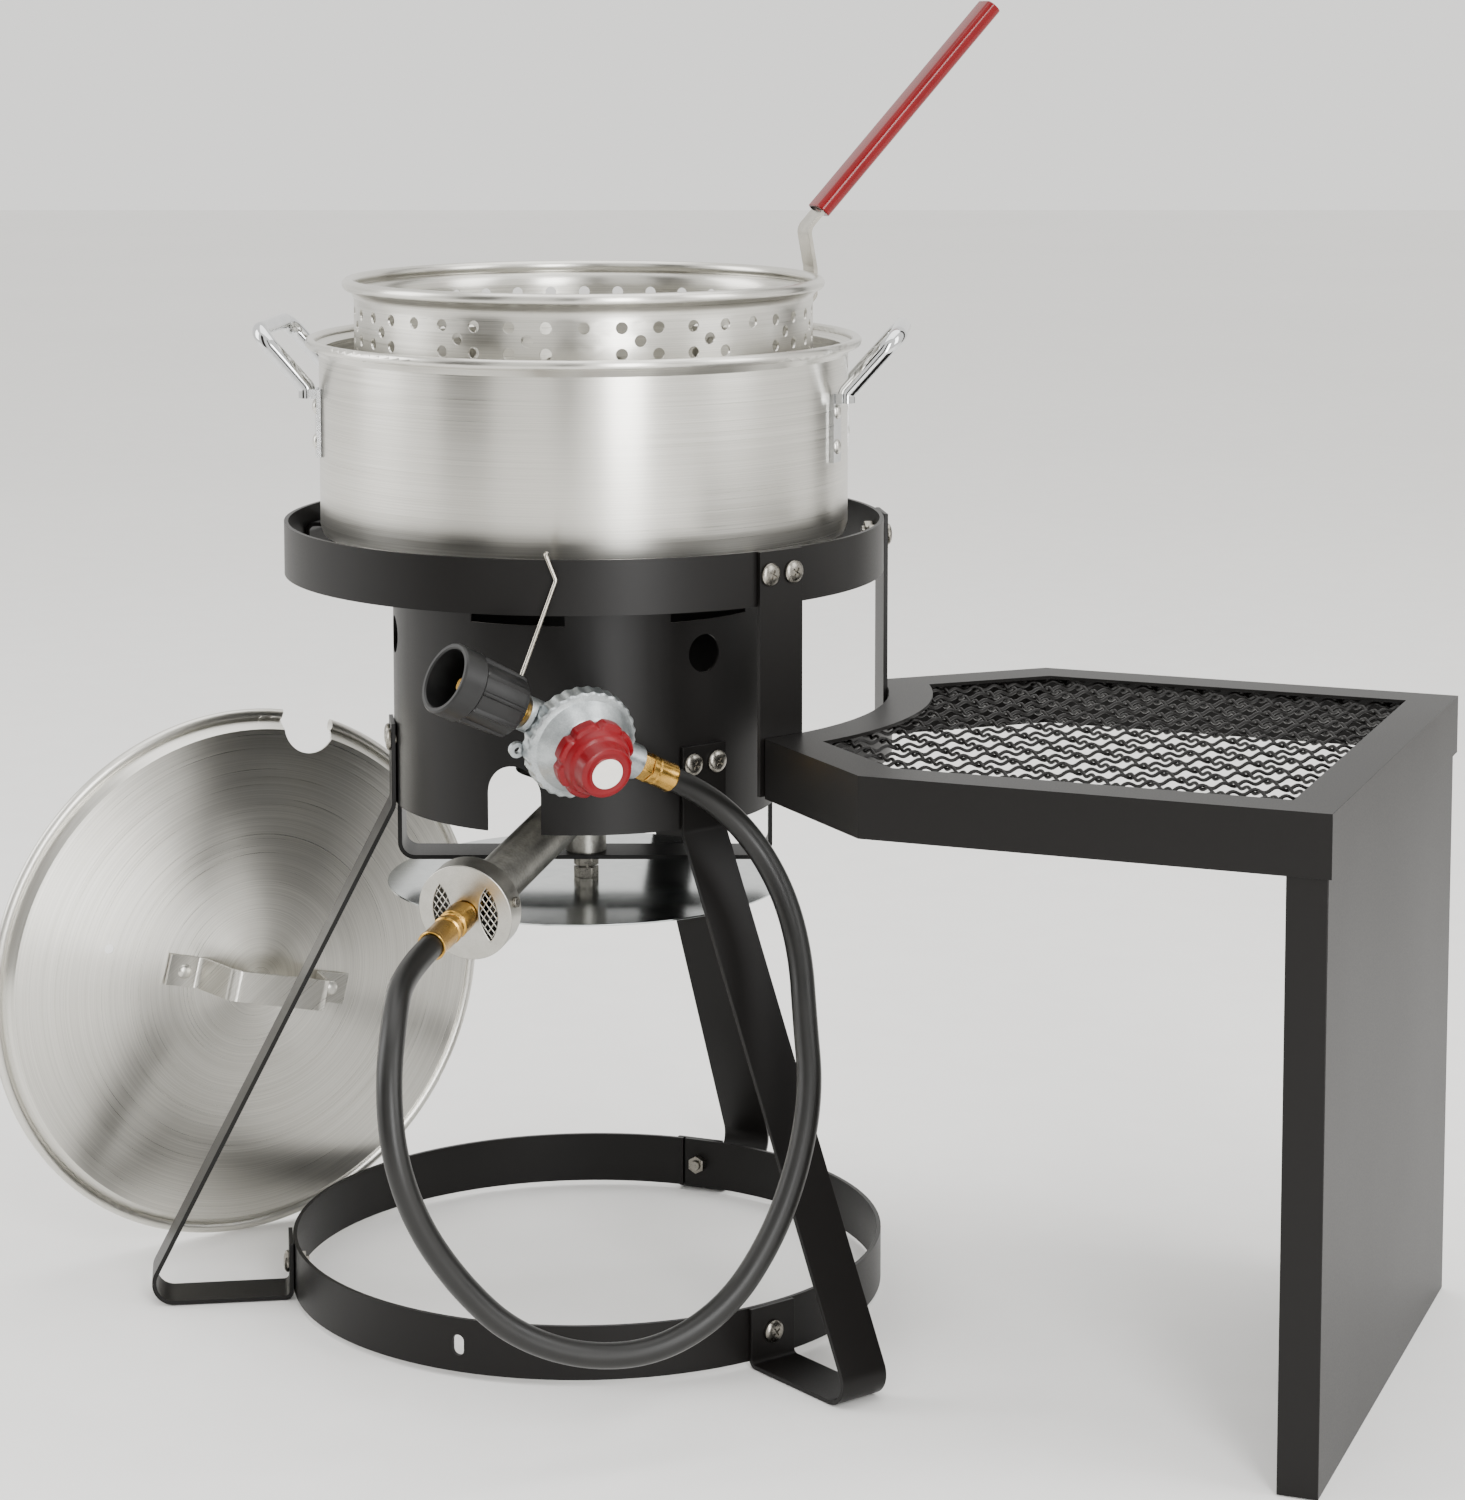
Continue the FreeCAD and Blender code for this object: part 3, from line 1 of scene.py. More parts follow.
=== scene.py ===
# %% [markdown]
# # An outdoor fryer kit
# The stand, gas parts, pot, basket, lid and side table arrive as a finished frame of
# parts. This lesson gives them their surfaces, and remakes the pieces whose detail
# is too fine for an engineering model: the hose, the turned and moulded gas parts,
# the screws and rivets, the woven table top, the punched basket and the screens of
# the air shutter.

# %% Load the frame
import json
import math

import bmesh
import bpy
from mathutils import Matrix, Vector


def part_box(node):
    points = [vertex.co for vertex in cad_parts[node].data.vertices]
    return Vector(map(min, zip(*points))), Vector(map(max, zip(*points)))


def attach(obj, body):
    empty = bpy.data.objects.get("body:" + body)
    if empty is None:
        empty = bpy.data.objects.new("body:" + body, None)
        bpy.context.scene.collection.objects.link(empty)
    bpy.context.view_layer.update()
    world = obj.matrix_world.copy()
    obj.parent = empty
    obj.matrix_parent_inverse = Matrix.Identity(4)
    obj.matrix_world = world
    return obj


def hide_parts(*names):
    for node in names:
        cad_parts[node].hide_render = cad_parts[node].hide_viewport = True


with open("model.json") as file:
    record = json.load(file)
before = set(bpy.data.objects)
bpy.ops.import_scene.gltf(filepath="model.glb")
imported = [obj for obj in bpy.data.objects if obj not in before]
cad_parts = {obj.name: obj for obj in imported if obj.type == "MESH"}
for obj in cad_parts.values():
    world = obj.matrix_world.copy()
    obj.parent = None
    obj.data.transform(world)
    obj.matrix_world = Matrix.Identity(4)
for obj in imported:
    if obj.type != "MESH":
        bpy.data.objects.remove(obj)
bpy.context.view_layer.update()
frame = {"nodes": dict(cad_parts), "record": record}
MM = 0.001
record = frame["record"]
body_of_node = {n: body for body, ns in record["behaviour"]["bodies"].items() for n in ns}
slot_of_node = {part["node"]: part["material_slot"] for part in record["subparts"]}
joints = {joint["name"]: joint for joint in record["behaviour"]["joints"]}


# %% Objects from data
def put_in_scene(name, data):
    """A new object that holds this data, linked into the scene."""
    thing = bpy.data.objects.new(name, data)
    bpy.context.scene.collection.objects.link(thing)
    return thing


def mesh_object(name, bm):
    """A new object with the shape of a bmesh, which is freed."""
    mesh = bpy.data.meshes.new(name)
    bm.to_mesh(mesh)
    bm.free()
    return put_in_scene(name, mesh)


# %% [markdown]
# ## The axes that the gas parts turn on
# The knob, the cylinder nut and the air shutter each turn on a joint, so the joints
# already say where those axes are. Reading them keeps every turned piece on its axis.
# The valve and the gas line start a known distance along the axis from their joints,
# and so do the two ends of the hose.

# %% Axes from the joints
KNOB_FROM_VALVE_MM = 25
NUT_FROM_LINE_MM = 66
HOSE_FROM_SHUTTER_MM = 53
HOSE_FROM_LINE_MM = 72
knob_axis = Vector(joints["knob_turn"]["axis"]).normalized()
valve_origin = Vector(joints["knob_turn"]["pos_m"]) - knob_axis * KNOB_FROM_VALVE_MM * MM
inlet_axis = Vector(joints["nut_spin"]["axis"]).normalized()
outlet_axis = -inlet_axis
line_origin = Vector(joints["nut_spin"]["pos_m"]) - inlet_axis * NUT_FROM_LINE_MM * MM
shutter_axis = Vector(joints["shutter_turn"]["axis"]).normalized()
shutter_origin = Vector(joints["shutter_turn"]["pos_m"])
burner_exit = shutter_origin + shutter_axis * HOSE_FROM_SHUTTER_MM * MM
valve_exit = line_origin + outlet_axis * HOSE_FROM_LINE_MM * MM
print("hose runs from", burner_exit, "to", valve_exit)


def on_axis(origin, axis):
    """The matrix that stands a piece's own Z axis on an axis of the object."""
    return Matrix.Translation(origin) @ axis.to_track_quat("Z", "Y").to_matrix().to_4x4()


# %% [markdown]
# ## Camera
# A long lens from a little above the table's height. The shift keeps the uprights
# upright while the whole kit stays in the frame.

# %% Camera
LENS_MM, SENSOR_MM, LENS_SHIFT = 87.8, 36, -0.237
CAMERA_PLACE = (0.0877, -2.1534, 0.7637)
CAMERA_DIP_DEG = 5.974
camera_data = bpy.data.cameras.new("camera")
camera_data.lens = LENS_MM
camera_data.sensor_width = SENSOR_MM
camera_data.shift_y = LENS_SHIFT
camera = put_in_scene("camera", camera_data)
camera.location = CAMERA_PLACE
camera.rotation_euler = (math.radians(90 - CAMERA_DIP_DEG), 0, 0)
bpy.context.scene.camera = camera
print("camera", tuple(camera.location))

# %% [markdown]
# ## Colour and node helpers
# Colours are chosen as sRGB hex values, and the shader wants linear ones. One
# function adds any node with its settings and links.


# %% Helpers for materials
def linear(hex_colour):
    """The linear colour of an sRGB hex value."""
    channels = [int(hex_colour[i:i + 2], 16) / 255 for i in (1, 3, 5)]
    bent = [c / 12.92 if c <= 0.04045 else ((c + 0.055) / 1.055) ** 2.4 for c in channels]
    return (*bent, 1.0)


def add(tree, kind, settings=None, **inputs):
    """Adds a node; an input given as a socket is linked, anything else is its value."""
    node = tree.nodes.new(kind)
    for name, value in (settings or {}).items():
        setattr(node, name, value)
    for name, value in inputs.items():
        socket = node.inputs[int(name[1:]) if name[1:].isdigit() else name.replace("_", " ")]
        if isinstance(value, bpy.types.NodeSocket):
            tree.links.new(value, socket)
        else:
            socket.default_value = value
    return node


def per_metre(size_mm):
    """The scale of a pattern whose features are this many millimetres across."""
    return 1000 / size_mm


# %% [markdown]
# ## One recipe for most surfaces
# A real surface has two scales at once: slow patches of tone, from handling and
# uneven coating, and a fine grain that breaks up its highlights. The recipe takes
# both as sizes in millimetres, mixes them, and lets the mixture move the colour and
# the roughness together. Nearly all of a noise lies between its two ends below.

# %% Pieces of the recipe
PATCH_SHARE, GRAIN_SHARE = 0.55, 0.45
NOISE_LOW, NOISE_HIGH = 0.3, 0.7
SMOOTHEST, ROUGHEST = 0.85, 1.15
COAT_ROUGHNESS = 0.08


def empty_material(name):
    material = bpy.data.materials.new(name)
    material.use_nodes = True
    material.node_tree.nodes.clear()
    return material


def two_tones(tree, noise, dark, light):
    """A colour that runs from dark to light as the noise rises."""
    ramp = add(tree, "ShaderNodeValToRGB", Fac=noise)
    stops = ramp.color_ramp.elements
    stops[0].position, stops[0].color = NOISE_LOW, linear(dark)
    stops[1].position, stops[1].color = NOISE_HIGH, linear(light)
    return ramp.outputs["Color"]


def varied(tree, noise, low, high):
    """A value that runs from low to high as the noise rises."""
    return add(tree, "ShaderNodeMapRange", Value=noise, From_Min=NOISE_LOW, From_Max=NOISE_HIGH,
               To_Min=low, To_Max=high).outputs[0]


def raised(tree, height, relief_mm):
    """A normal bent by a pattern of this many millimetres of relief."""
    return add(tree, "ShaderNodeBump", Height=height, Strength=1.0,
               Distance=relief_mm * MM).outputs[0]


# %% The surface recipe
def surface(name, dark, light, metallic, rough, patch_mm, grain_mm, bump_mm,
            coat=0.0, shine=0.5):
    material = empty_material(name)
    tree = material.node_tree
    where = add(tree, "ShaderNodeTexCoord").outputs["Object"]
    patch = add(tree, "ShaderNodeTexNoise", Vector=where, Scale=per_metre(patch_mm), Detail=4.0)
    grain = add(tree, "ShaderNodeTexNoise", Vector=where, Scale=per_metre(grain_mm), Detail=3.0)
    mixed = 0.0
    for noise, share in ((grain, GRAIN_SHARE), (patch, PATCH_SHARE)):
        mixed = add(tree, "ShaderNodeMath", {"operation": "MULTIPLY_ADD"},
                    _0=noise.outputs["Fac"], _1=share, _2=mixed).outputs[0]
    polish = varied(tree, mixed, rough * SMOOTHEST, min(1.0, rough * ROUGHEST))
    shader = add(tree, "ShaderNodeBsdfPrincipled", Base_Color=two_tones(tree, mixed, dark, light),
                 Metallic=metallic, Roughness=polish, Specular_IOR_Level=shine,
                 Normal=raised(tree, grain.outputs["Fac"], bump_mm),
                 Coat_Weight=coat, Coat_Roughness=COAT_ROUGHNESS)
    add(tree, "ShaderNodeOutputMaterial", Surface=shader.outputs[0])
    return material


# %% [markdown]
# ## Powder coat, castings and plated steel
# Powder coat is a baked plastic film: satin, slightly warm, with an orange-peel
# grain. Sand-cast iron is rough and matt. Zinc and nickel plate are soft metals with
# fine scratches, and chrome is nearly a mirror.

# %% Plain finishes
finishes = {
    "black_coat": surface("satin_powder_coat", "#0b0a09", "#110f0e", 0.0, 0.4, 500, 0.9, 0.01,
                          shine=0.22),
    "zinc_screws": surface("zinc_plate", "#6f6c66", "#9a968d", 1.0, 0.28, 6, 0.5, 0.006),
    "galvanised": surface("galvanised_sheet", "#b3b8b9", "#c9cdcd", 1.0, 0.16, 30, 6.0, 0.002),
    "cast_iron": surface("sand_cast_metal", "#7f7e79", "#b0aea7", 0.9, 0.42, 12, 1.6, 0.12),
    "pressed_steel": surface("satin_pressed_steel", "#a09e97", "#c0beb7", 1.0, 0.34, 9, 0.6, 0.008),
    "brass": surface("turned_brass", "#a8803a", "#cfa557", 1.0, 0.26, 5, 0.4, 0.006),
    "rubber": surface("rubber_hose_cover", "#0c0c0b", "#151412", 0.0, 0.4, 18, 0.7, 0.01,
                      shine=0.4),
    "zinc_casting": surface("die_cast_zinc", "#8f9496", "#bcc1c2", 0.95, 0.36, 7, 0.9, 0.03),
    "spring_wire": surface("drawn_steel_wire", "#9b958a", "#c4bfb4", 1.0, 0.25, 10, 0.4, 0.004),
    "red_plastic": surface("moulded_red_abs", "#66000a", "#76020e", 0.0, 0.32, 20, 1.2, 0.004,
                           shine=0.3),
    "white_label": surface("plain_paper_label", "#dedcd4", "#e9e7e0", 0.0, 0.55, 5, 0.4, 0.003),
    "black_plastic": surface("moulded_black_nylon", "#0d0d0d", "#171717", 0.0, 0.42, 10, 0.8, 0.012,
                             shine=0.4),
    "chrome": surface("bright_chrome", "#c4c6c7", "#dadbdc", 1.0, 0.07, 20, 2.0, 0.0005),
    "nickel_strip": surface("nickel_plated_strip", "#aaa69c", "#cfcbc1", 1.0, 0.24, 12, 0.5, 0.006),
    "red_vinyl": surface("dipped_red_vinyl", "#640006", "#75020a", 0.0, 0.2, 60, 9.0, 0.002,
                         coat=0.12, shine=0.3),
}
print("plain finishes", len(finishes))

# %% [markdown]
# ## Spun aluminium
# The pot, basket and lid are spun on a lathe and finished with abrasive held still
# against the turning metal. The lines run round each piece's own axis. Light spreads
# across such lines and hardly at all along them, which gives upright bands on the pot
# and rays out from the lid's middle. So the shader gets the direction of the lines at
# every point: the axis crossed with the line out to that point.

# %% Spun aluminium
LINE_MM = 0.6
LINE_DRIFT = 0.004
LINE_RELIEF_MM = 0.0015
lift = Vector(joints["lid_lift"]["axis"])
lid_normal = Vector((-lift.x, -lift.y, 0)).normalized()
lid_low, lid_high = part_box("lid_shell")
lid_centre = (lid_low + lid_high) / 2


def vector_step(tree, operation, first, **others):
    """One step of vector arithmetic; a dot product or a length comes out as a number."""
    step = add(tree, "ShaderNodeVectorMath", {"operation": operation}, _0=first, **others)
    return step.outputs["Value" if operation in ("DOT_PRODUCT", "LENGTH") else "Vector"]


def spun_metal(name, centre, axis):
    material = empty_material(name)
    tree = material.node_tree
    centre, axis = tuple(centre), tuple(axis)
    where = add(tree, "ShaderNodeTexCoord").outputs["Object"]
    where = vector_step(tree, "SUBTRACT", where, _1=centre)
    along = vector_step(tree, "DOT_PRODUCT", where, _1=axis)
    rise = vector_step(tree, "SCALE", axis, Scale=along)
    flat = vector_step(tree, "SUBTRACT", where, _1=rise)
    radius = vector_step(tree, "LENGTH", flat)
    round_it = vector_step(tree, "CROSS_PRODUCT", axis, _1=flat)
    round_it = vector_step(tree, "NORMALIZE", round_it)
    line_way = add(tree, "ShaderNodeVectorTransform",
                   {"vector_type": "VECTOR", "convert_from": "OBJECT", "convert_to": "WORLD"},
                   Vector=round_it).outputs[0]
    # One number, height plus radius, picks the line; a little of the place round the
    # axis is added so that a line fades in and out along its way.
    step = add(tree, "ShaderNodeMath", {"operation": "ADD"}, _0=along, _1=radius).outputs[0]
    drift = vector_step(tree, "SCALE", flat, Scale=LINE_DRIFT)
    spot = vector_step(tree, "SCALE", axis, Scale=step)
    spot = vector_step(tree, "ADD", spot, _1=drift)
    scratch = add(tree, "ShaderNodeTexNoise", Vector=spot, Scale=per_metre(LINE_MM),
                  Detail=4.0).outputs["Fac"]
    shader = add(tree, "ShaderNodeBsdfPrincipled", Metallic=1.0,
                 Base_Color=two_tones(tree, scratch, "#c3c1ba", "#dbd9d2"),
                 Roughness=varied(tree, scratch, 0.27, 0.34),
                 Anisotropic=0.75, Anisotropic_Rotation=0.25, Tangent=line_way,
                 Normal=raised(tree, scratch, LINE_RELIEF_MM))
    add(tree, "ShaderNodeOutputMaterial", Surface=shader.outputs[0])
    return material


finishes["spun_aluminium"] = spun_metal("spun_aluminium", (0, 0, 0), (0, 0, 1))
lid_finish = spun_metal("spun_aluminium_lid", lid_centre, lid_normal)
print("lid centre", lid_centre)

# %% [markdown]
# ## Placing a finished piece
# Every new piece rides on the body of the node that it stands for, takes the finish
# that it is given, and hides that node. An open edge, or one sharper than the piece's
# own limit, stays crisp; the rest is smooth.

# %% Finish a mesh and put it on its body
WELD_MM = 0.002
FLAT_DEG = 0.4


def finish_piece(name, bm, stands_for, material, edge_mm=0.0, sharp=30):
    """Places one piece; edge_mm breaks the edges that are sharper than `sharp` degrees."""
    limit = math.radians(sharp)
    for face in bm.faces:
        face.smooth = True
    for edge in bm.edges:
        if len(edge.link_faces) != 2 or edge.calc_face_angle(0) > limit:
            edge.smooth = False
    piece = mesh_object(name, bm)
    piece.data.materials.append(material)
    if edge_mm:
        soften = piece.modifiers.new("worn_edges", "BEVEL")
        soften.width = edge_mm * MM
        soften.segments = 2
        soften.limit_method = "ANGLE"
        soften.angle_limit = limit
        soften.use_clamp_overlap = True
    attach(piece, body_of_node[stands_for])
    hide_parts(stands_for)
    return piece


def welded(node):
    """A node's triangles, with the corners that they share made one."""
    bm = bmesh.new()
    bm.from_mesh(frame["nodes"][node].data)
    bmesh.ops.remove_doubles(bm, verts=bm.verts, dist=WELD_MM * MM)
    return bm


def cleaned(node):
    """A node's shape with its flat faces made whole."""
    bm = welded(node)
    bmesh.ops.dissolve_limit(bm, angle_limit=math.radians(FLAT_DEG), verts=bm.verts,
                             edges=bm.edges)
    return bm


# %% [markdown]
# ## Sheet and strip pieces
# These have the right shape already. Pressed and sheared metal has a slightly broken
# edge that catches the light, so nearly all get a copy with softened edges. A piece
# at 0.0 is round or thin enough to need none.

# %% Pieces that keep their shape
EDGES_MM = {
    "bottom_ring": 0.35, "top_ring": 0.35, "leg_front": 0.35, "leg_rear": 0.35, "leg_left": 0.35,
    "pot_arm_front": 0.35, "pot_arm_rear": 0.35, "pot_arm_left": 0.35, "burner_bracket": 0.35,
    "wind_guard": 0.2, "heat_shield": 0.2, "table_frame": 1.8, "table_leg_panel": 0.5,
    "hanger_strap_front": 0.4, "hanger_strap_rear": 0.4, "regulator_body": 0.8, "air_shutter": 0.4,
    "orifice_fitting": 0.4, "inlet_nipple": 0.3, "outlet_fitting": 0.6, "pot_handle_right": 0.4,
    "pot_handle_left": 0.4, "basket_handle": 0.5, "basket_grip": 1.4, "lid_handle": 0.5,
    "leg_nuts": 0.3, "strap_nuts": 0.3, "stud_nuts": 0.4,
    "hanger_wire": 0.0, "pot_body": 0.0, "burner_stud": 0.0, "knob_label": 0.0,
    "shutter_screw": 0.2, "burner_casting": 1.0,
}
for node, edge_mm in EDGES_MM.items():
    finish_piece(node + "_finish", cleaned(node), node, finishes[slot_of_node[node]], edge_mm)
finish_piece("lid_shell_finish", cleaned("lid_shell"), "lid_shell", lid_finish)
print("softened copies", len(EDGES_MM) + 1)

# %% [markdown]
# ## The hose
# A reinforced rubber hose is stiff: it leaves each brass ferrule straight and then
# bends in one loose loop. A NURBS curve has no corners, so the points steer it and
# the line stays smooth.

# %% Hose
HOSE_RADIUS_MM = 7
hose_points = [
    burner_exit,
    burner_exit + shutter_axis * 0.038,
    Vector((-0.090, -0.280, 0.237)),
    Vector((-0.091, -0.305, 0.209)),
    Vector((-0.087, -0.316, 0.174)),
    Vector((-0.075, -0.313, 0.137)),
    Vector((-0.054, -0.306, 0.103)),
    Vector((-0.028, -0.299, 0.075)),
    Vector((0.009, -0.289, 0.058)),
    Vector((0.049, -0.275, 0.056)),
    Vector((0.085, -0.258, 0.074)),
    Vector((0.109, -0.238, 0.105)),
    Vector((0.124, -0.214, 0.139)),
    Vector((0.131, -0.190, 0.173)),
    Vector((0.128, -0.166, 0.206)),
    Vector((0.126, -0.142, 0.236)),
    Vector((0.118, -0.126, 0.265)),
    Vector((0.104, -0.119, 0.291)),
    Vector((0.087, -0.121, 0.312)),
    valve_exit + outlet_axis * 0.020,
    valve_exit,
]
hose_curve = bpy.data.curves.new("hose_line", "CURVE")
hose_curve.dimensions = "3D"
hose_curve.bevel_depth = HOSE_RADIUS_MM * MM
hose_curve.bevel_resolution = 6
hose_curve.resolution_u = 12
hose_curve.use_fill_caps = True
line = hose_curve.splines.new("NURBS")
line.points.add(len(hose_points) - 1)
for point, place in zip(line.points, hose_points):
    point.co = (*place, 1)
line.order_u = 3
line.use_endpoint_u = True
hose_curve.materials.append(finishes["rubber"])
hose = put_in_scene("hose_cover", hose_curve)
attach(hose, "root")
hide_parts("hose")

# %% [markdown]
# ## Turned and moulded pieces
# A lathe profile spun about its axis gives the ferrules, the regulator's bonnet, the
# knob and the nut. Lugs, ribs and crimps are the same spin with the radius changed
# a little by the angle, which is how a mould-maker would cut them too.


# %% Join two meshes
def join(bm, other):
    """Adds another bmesh to this one, and frees it."""
    extra = bpy.data.meshes.new("extra")
    other.to_mesh(extra)
    other.free()
    bm.from_mesh(extra)
    bpy.data.meshes.remove(extra)


# %% Spin a profile
MERGE_MM = 0.001
NEAR_AXIS_MM = 1


def spun(profile, place, steps, reshape=None, closed=True):
    """Spins (radius, height) points in millimetres round Z and stands them on an axis."""
    bm = bmesh.new()
    corners = [bm.verts.new((radius * MM, 0, height * MM)) for radius, height in profile]
    pairs = list(zip(corners, corners[1:]))
    if closed:
        pairs.append((corners[-1], corners[0]))
    outline = [bm.edges.new(pair) for pair in pairs]
    bmesh.ops.spin(bm, geom=corners + outline, cent=(0, 0, 0), axis=(0, 0, 1),
                   angle=math.tau, steps=steps, use_merge=True)
    bmesh.ops.remove_doubles(bm, verts=bm.verts, dist=MERGE_MM * MM)
    if reshape:
        for vert in bm.verts:
            radius = math.hypot(vert.co.x, vert.co.y) / MM
            if radius > NEAR_AXIS_MM:
                angle = math.atan2(vert.co.y, vert.co.x)
                factor = reshape(radius, angle, vert.co.z / MM) / radius
                vert.co.x *= factor
                vert.co.y *= factor
    bmesh.ops.recalc_face_normals(bm, faces=bm.faces)
    bmesh.ops.transform(bm, matrix=place, verts=bm.verts)
    return bm


# %% Brass ferrules
def ferrule_profile(start, length):
    """A pressed sleeve: a rolled collar at the fitting, a smooth barrel, a flared lip."""
    end = start + length
    return [
        (7.2, start), (7.9, start), (8.4, start + 0.5), (8.4, start + 3.2), (7.5, start + 4),
        (7.5, start + 4.8), (8.1, start + 5.6), (8.1, end - 2.6), (8.4, end - 1.4),
        (8.4, end - 0.5), (8, end), (7.2, end),
    ]


finish_piece("burner_ferrule",
             spun(ferrule_profile(29, 24), on_axis(shutter_origin, shutter_axis), 48),
             "hose_ferrule_burner", finishes["brass"])
finish_piece("regulator_ferrule",
             spun(ferrule_profile(54, 18), on_axis(line_origin, outlet_axis), 48),
             "hose_ferrule_regulator", finishes["brass"])

# %% Regulator bonnet with its crimped rim
CRIMPS, CRIMP_MM, CRIMPED_FROM = 30, 0.45, 30.5


def crimp_rim(radius, angle, height):
    if radius <= CRIMPED_FROM:
        return radius
    return radius - CRIMP_MM * (1 - math.cos(CRIMPS * angle))


bonnet_profile = [
    (28.2, -6.5), (31, -6.5), (32, -5.6), (32, 2.3), (31, 3.4), (29.4, 3.5), (27.4, 4.1),
    (26.4, 5.2), (24.6, 7.2), (21, 11), (19.4, 12.9), (17, 14), (8.3, 14), (8.3, 11),
    (14, 11), (14, 2.5), (22, 0), (22, -3), (28.2, -3),
]
finish_piece("regulator_bonnet_cast",
             spun(bonnet_profile, on_axis(valve_origin, knob_axis), 180, crimp_rim),
             "regulator_bonnet", finishes["zinc_casting"])

# %% Adjusting knob with its lugs
LUGS, LUG_NOTCH_MM = 8, 2.2
LUG_FOOT, LUG_TOP, LUG_FROM = 14.9, 23.6, 19.5


def knob_lugs(radius, angle, height):
    if not LUG_FOOT <= height <= LUG_TOP or radius < LUG_FROM:
        return radius
    return radius - LUG_NOTCH_MM * max(0.0, math.cos(LUGS * angle)) ** 3


knob_profile = [
    (0, 11.3), (8, 11.3), (8, 17), (19, 17), (19, 15.1), (21.6, 15), (22.5, 15.9), (22.5, 21.6),
    (21.7, 22.9), (19.4, 23.5), (18.7, 24.6), (18.2, 27), (17.2, 28.4), (15.8, 29.3), (15.3, 30.6),
    (15, 35.6), (14.4, 37.2), (13, 38), (11.4, 38), (10.6, 37.6), (9.6, 37.6), (9, 38), (0, 38),
]
finish_piece("adjusting_knob_moulded",
             spun(knob_profile, on_axis(valve_origin, knob_axis), 128, knob_lugs, closed=False),
             "adjusting_knob", finishes["red_plastic"])

# %% Cylinder nut with its ribs
RIBS, RIB_WIDTH = 10, 0.72
RIB_FOOT, RIB_TOP, RIB_FROM = 43.5, 73, 17


def nut_ribs(radius, angle, height):
    """Narrow ribs that grow outwards towards the nut's open end."""
    if not RIB_FOOT <= height <= RIB_TOP or radius < RIB_FROM:
        return radius
    taper = (height - RIB_FOOT) / (RIB_TOP - RIB_FOOT)
    rib = max(0.0, math.cos(RIBS * angle) - RIB_WIDTH) ** 0.5
    return radius - 0.8 + (1.0 + 1.4 * taper) * rib * 1.9


nut_profile = [
    (6.8, 43), (16.4, 43), (17.6, 43.8), (18.1, 46), (18.2, 60), (18.2, 72.6), (18.8, 73.6),
    (20, 75), (20, 88), (19.2, 89), (17.5, 89), (16.7, 88.2), (16.7, 46.5), (6.8, 46.5),
]
finish_piece("cylinder_nut_moulded",
             spun(nut_profile, on_axis(line_origin, inlet_axis), 144, nut_ribs),
             "cylinder_nut", finishes["black_plastic"])
print("turned pieces done")

# %% [markdown]
# ## Screws and rivets
# The stand is held by pan-head machine screws with a cross recess, and the handles by
# domed rivets. One screw head is made with its recess cut by two thin blocks, and is
# then set on every shank, each turned by its own amount as a fitter leaves them.


# %% One screw head with its cross recess
HEAD_HEIGHT, SHANK_RADIUS = 3.2, 3.0
RECESS_LENGTH, RECESS_WIDTH, RECESS_HEIGHT = 5.6, 1.1, 2.4
head_profile = [
    (0, 0), (6.1, 0), (6.5, 0.4), (6.4, 1.4), (5.6, 2.3), (4.2, 2.9), (2.4, 3.15),
    (0, HEAD_HEIGHT),
]
plain_head = mesh_object("scratch", spun(head_profile, Matrix.Identity(4), 32, closed=False))
blocks = bmesh.new()
for long_x, long_y in ((RECESS_LENGTH, RECESS_WIDTH), (RECESS_WIDTH, RECESS_LENGTH)):
    size = Matrix.Diagonal((long_x * MM, long_y * MM, RECESS_HEIGHT * MM, 1))
    bmesh.ops.create_cube(blocks, size=1,
                          matrix=Matrix.Translation((0, 0, HEAD_HEIGHT * MM)) @ size)
cutter = mesh_object("scratch", blocks)
recess = plain_head.modifiers.new("cross_recess", "BOOLEAN")
recess.operation = "DIFFERENCE"
recess.solver = "EXACT"
recess.use_self = True
recess.object = cutter
screw_head = bpy.data.meshes.new_from_object(
    plain_head.evaluated_get(bpy.context.evaluated_depsgraph_get()))
bpy.data.objects.remove(plain_head)
bpy.data.objects.remove(cutter)
print("screw head faces", len(screw_head.polygons))


# %% Separate pieces of one node
def islands(node):
    """The corner points of each separate piece of a node."""
    bm = welded(node)
    left = set(bm.verts)
    found = []
    while left:
        island = [left.pop()]
        for vert in island:
            for edge in vert.link_edges:
                other = edge.other_vert(vert)
                if other in left:
                    left.discard(other)
                    island.append(other)
        found.append([vert.co.copy() for vert in island])
    bm.free()
    return found


def shank_line(spots, axis):
    """The middle of a fastener's own axis, and how far it runs each way along it."""
    reaches = [spot.dot(axis) for spot in spots]
    low, high = min(reaches), max(reaches)
    ends = [spot for spot, reach in zip(spots, reaches) if reach < low + 0.01 * MM]
    middle = sum(ends, Vector()) / len(ends)
    return middle - axis * middle.dot(axis), low / MM, high / MM


# %% Screws on the legs and on the table's straps
FIRST_TURN, NEXT_TURN = 0.4, 0.7


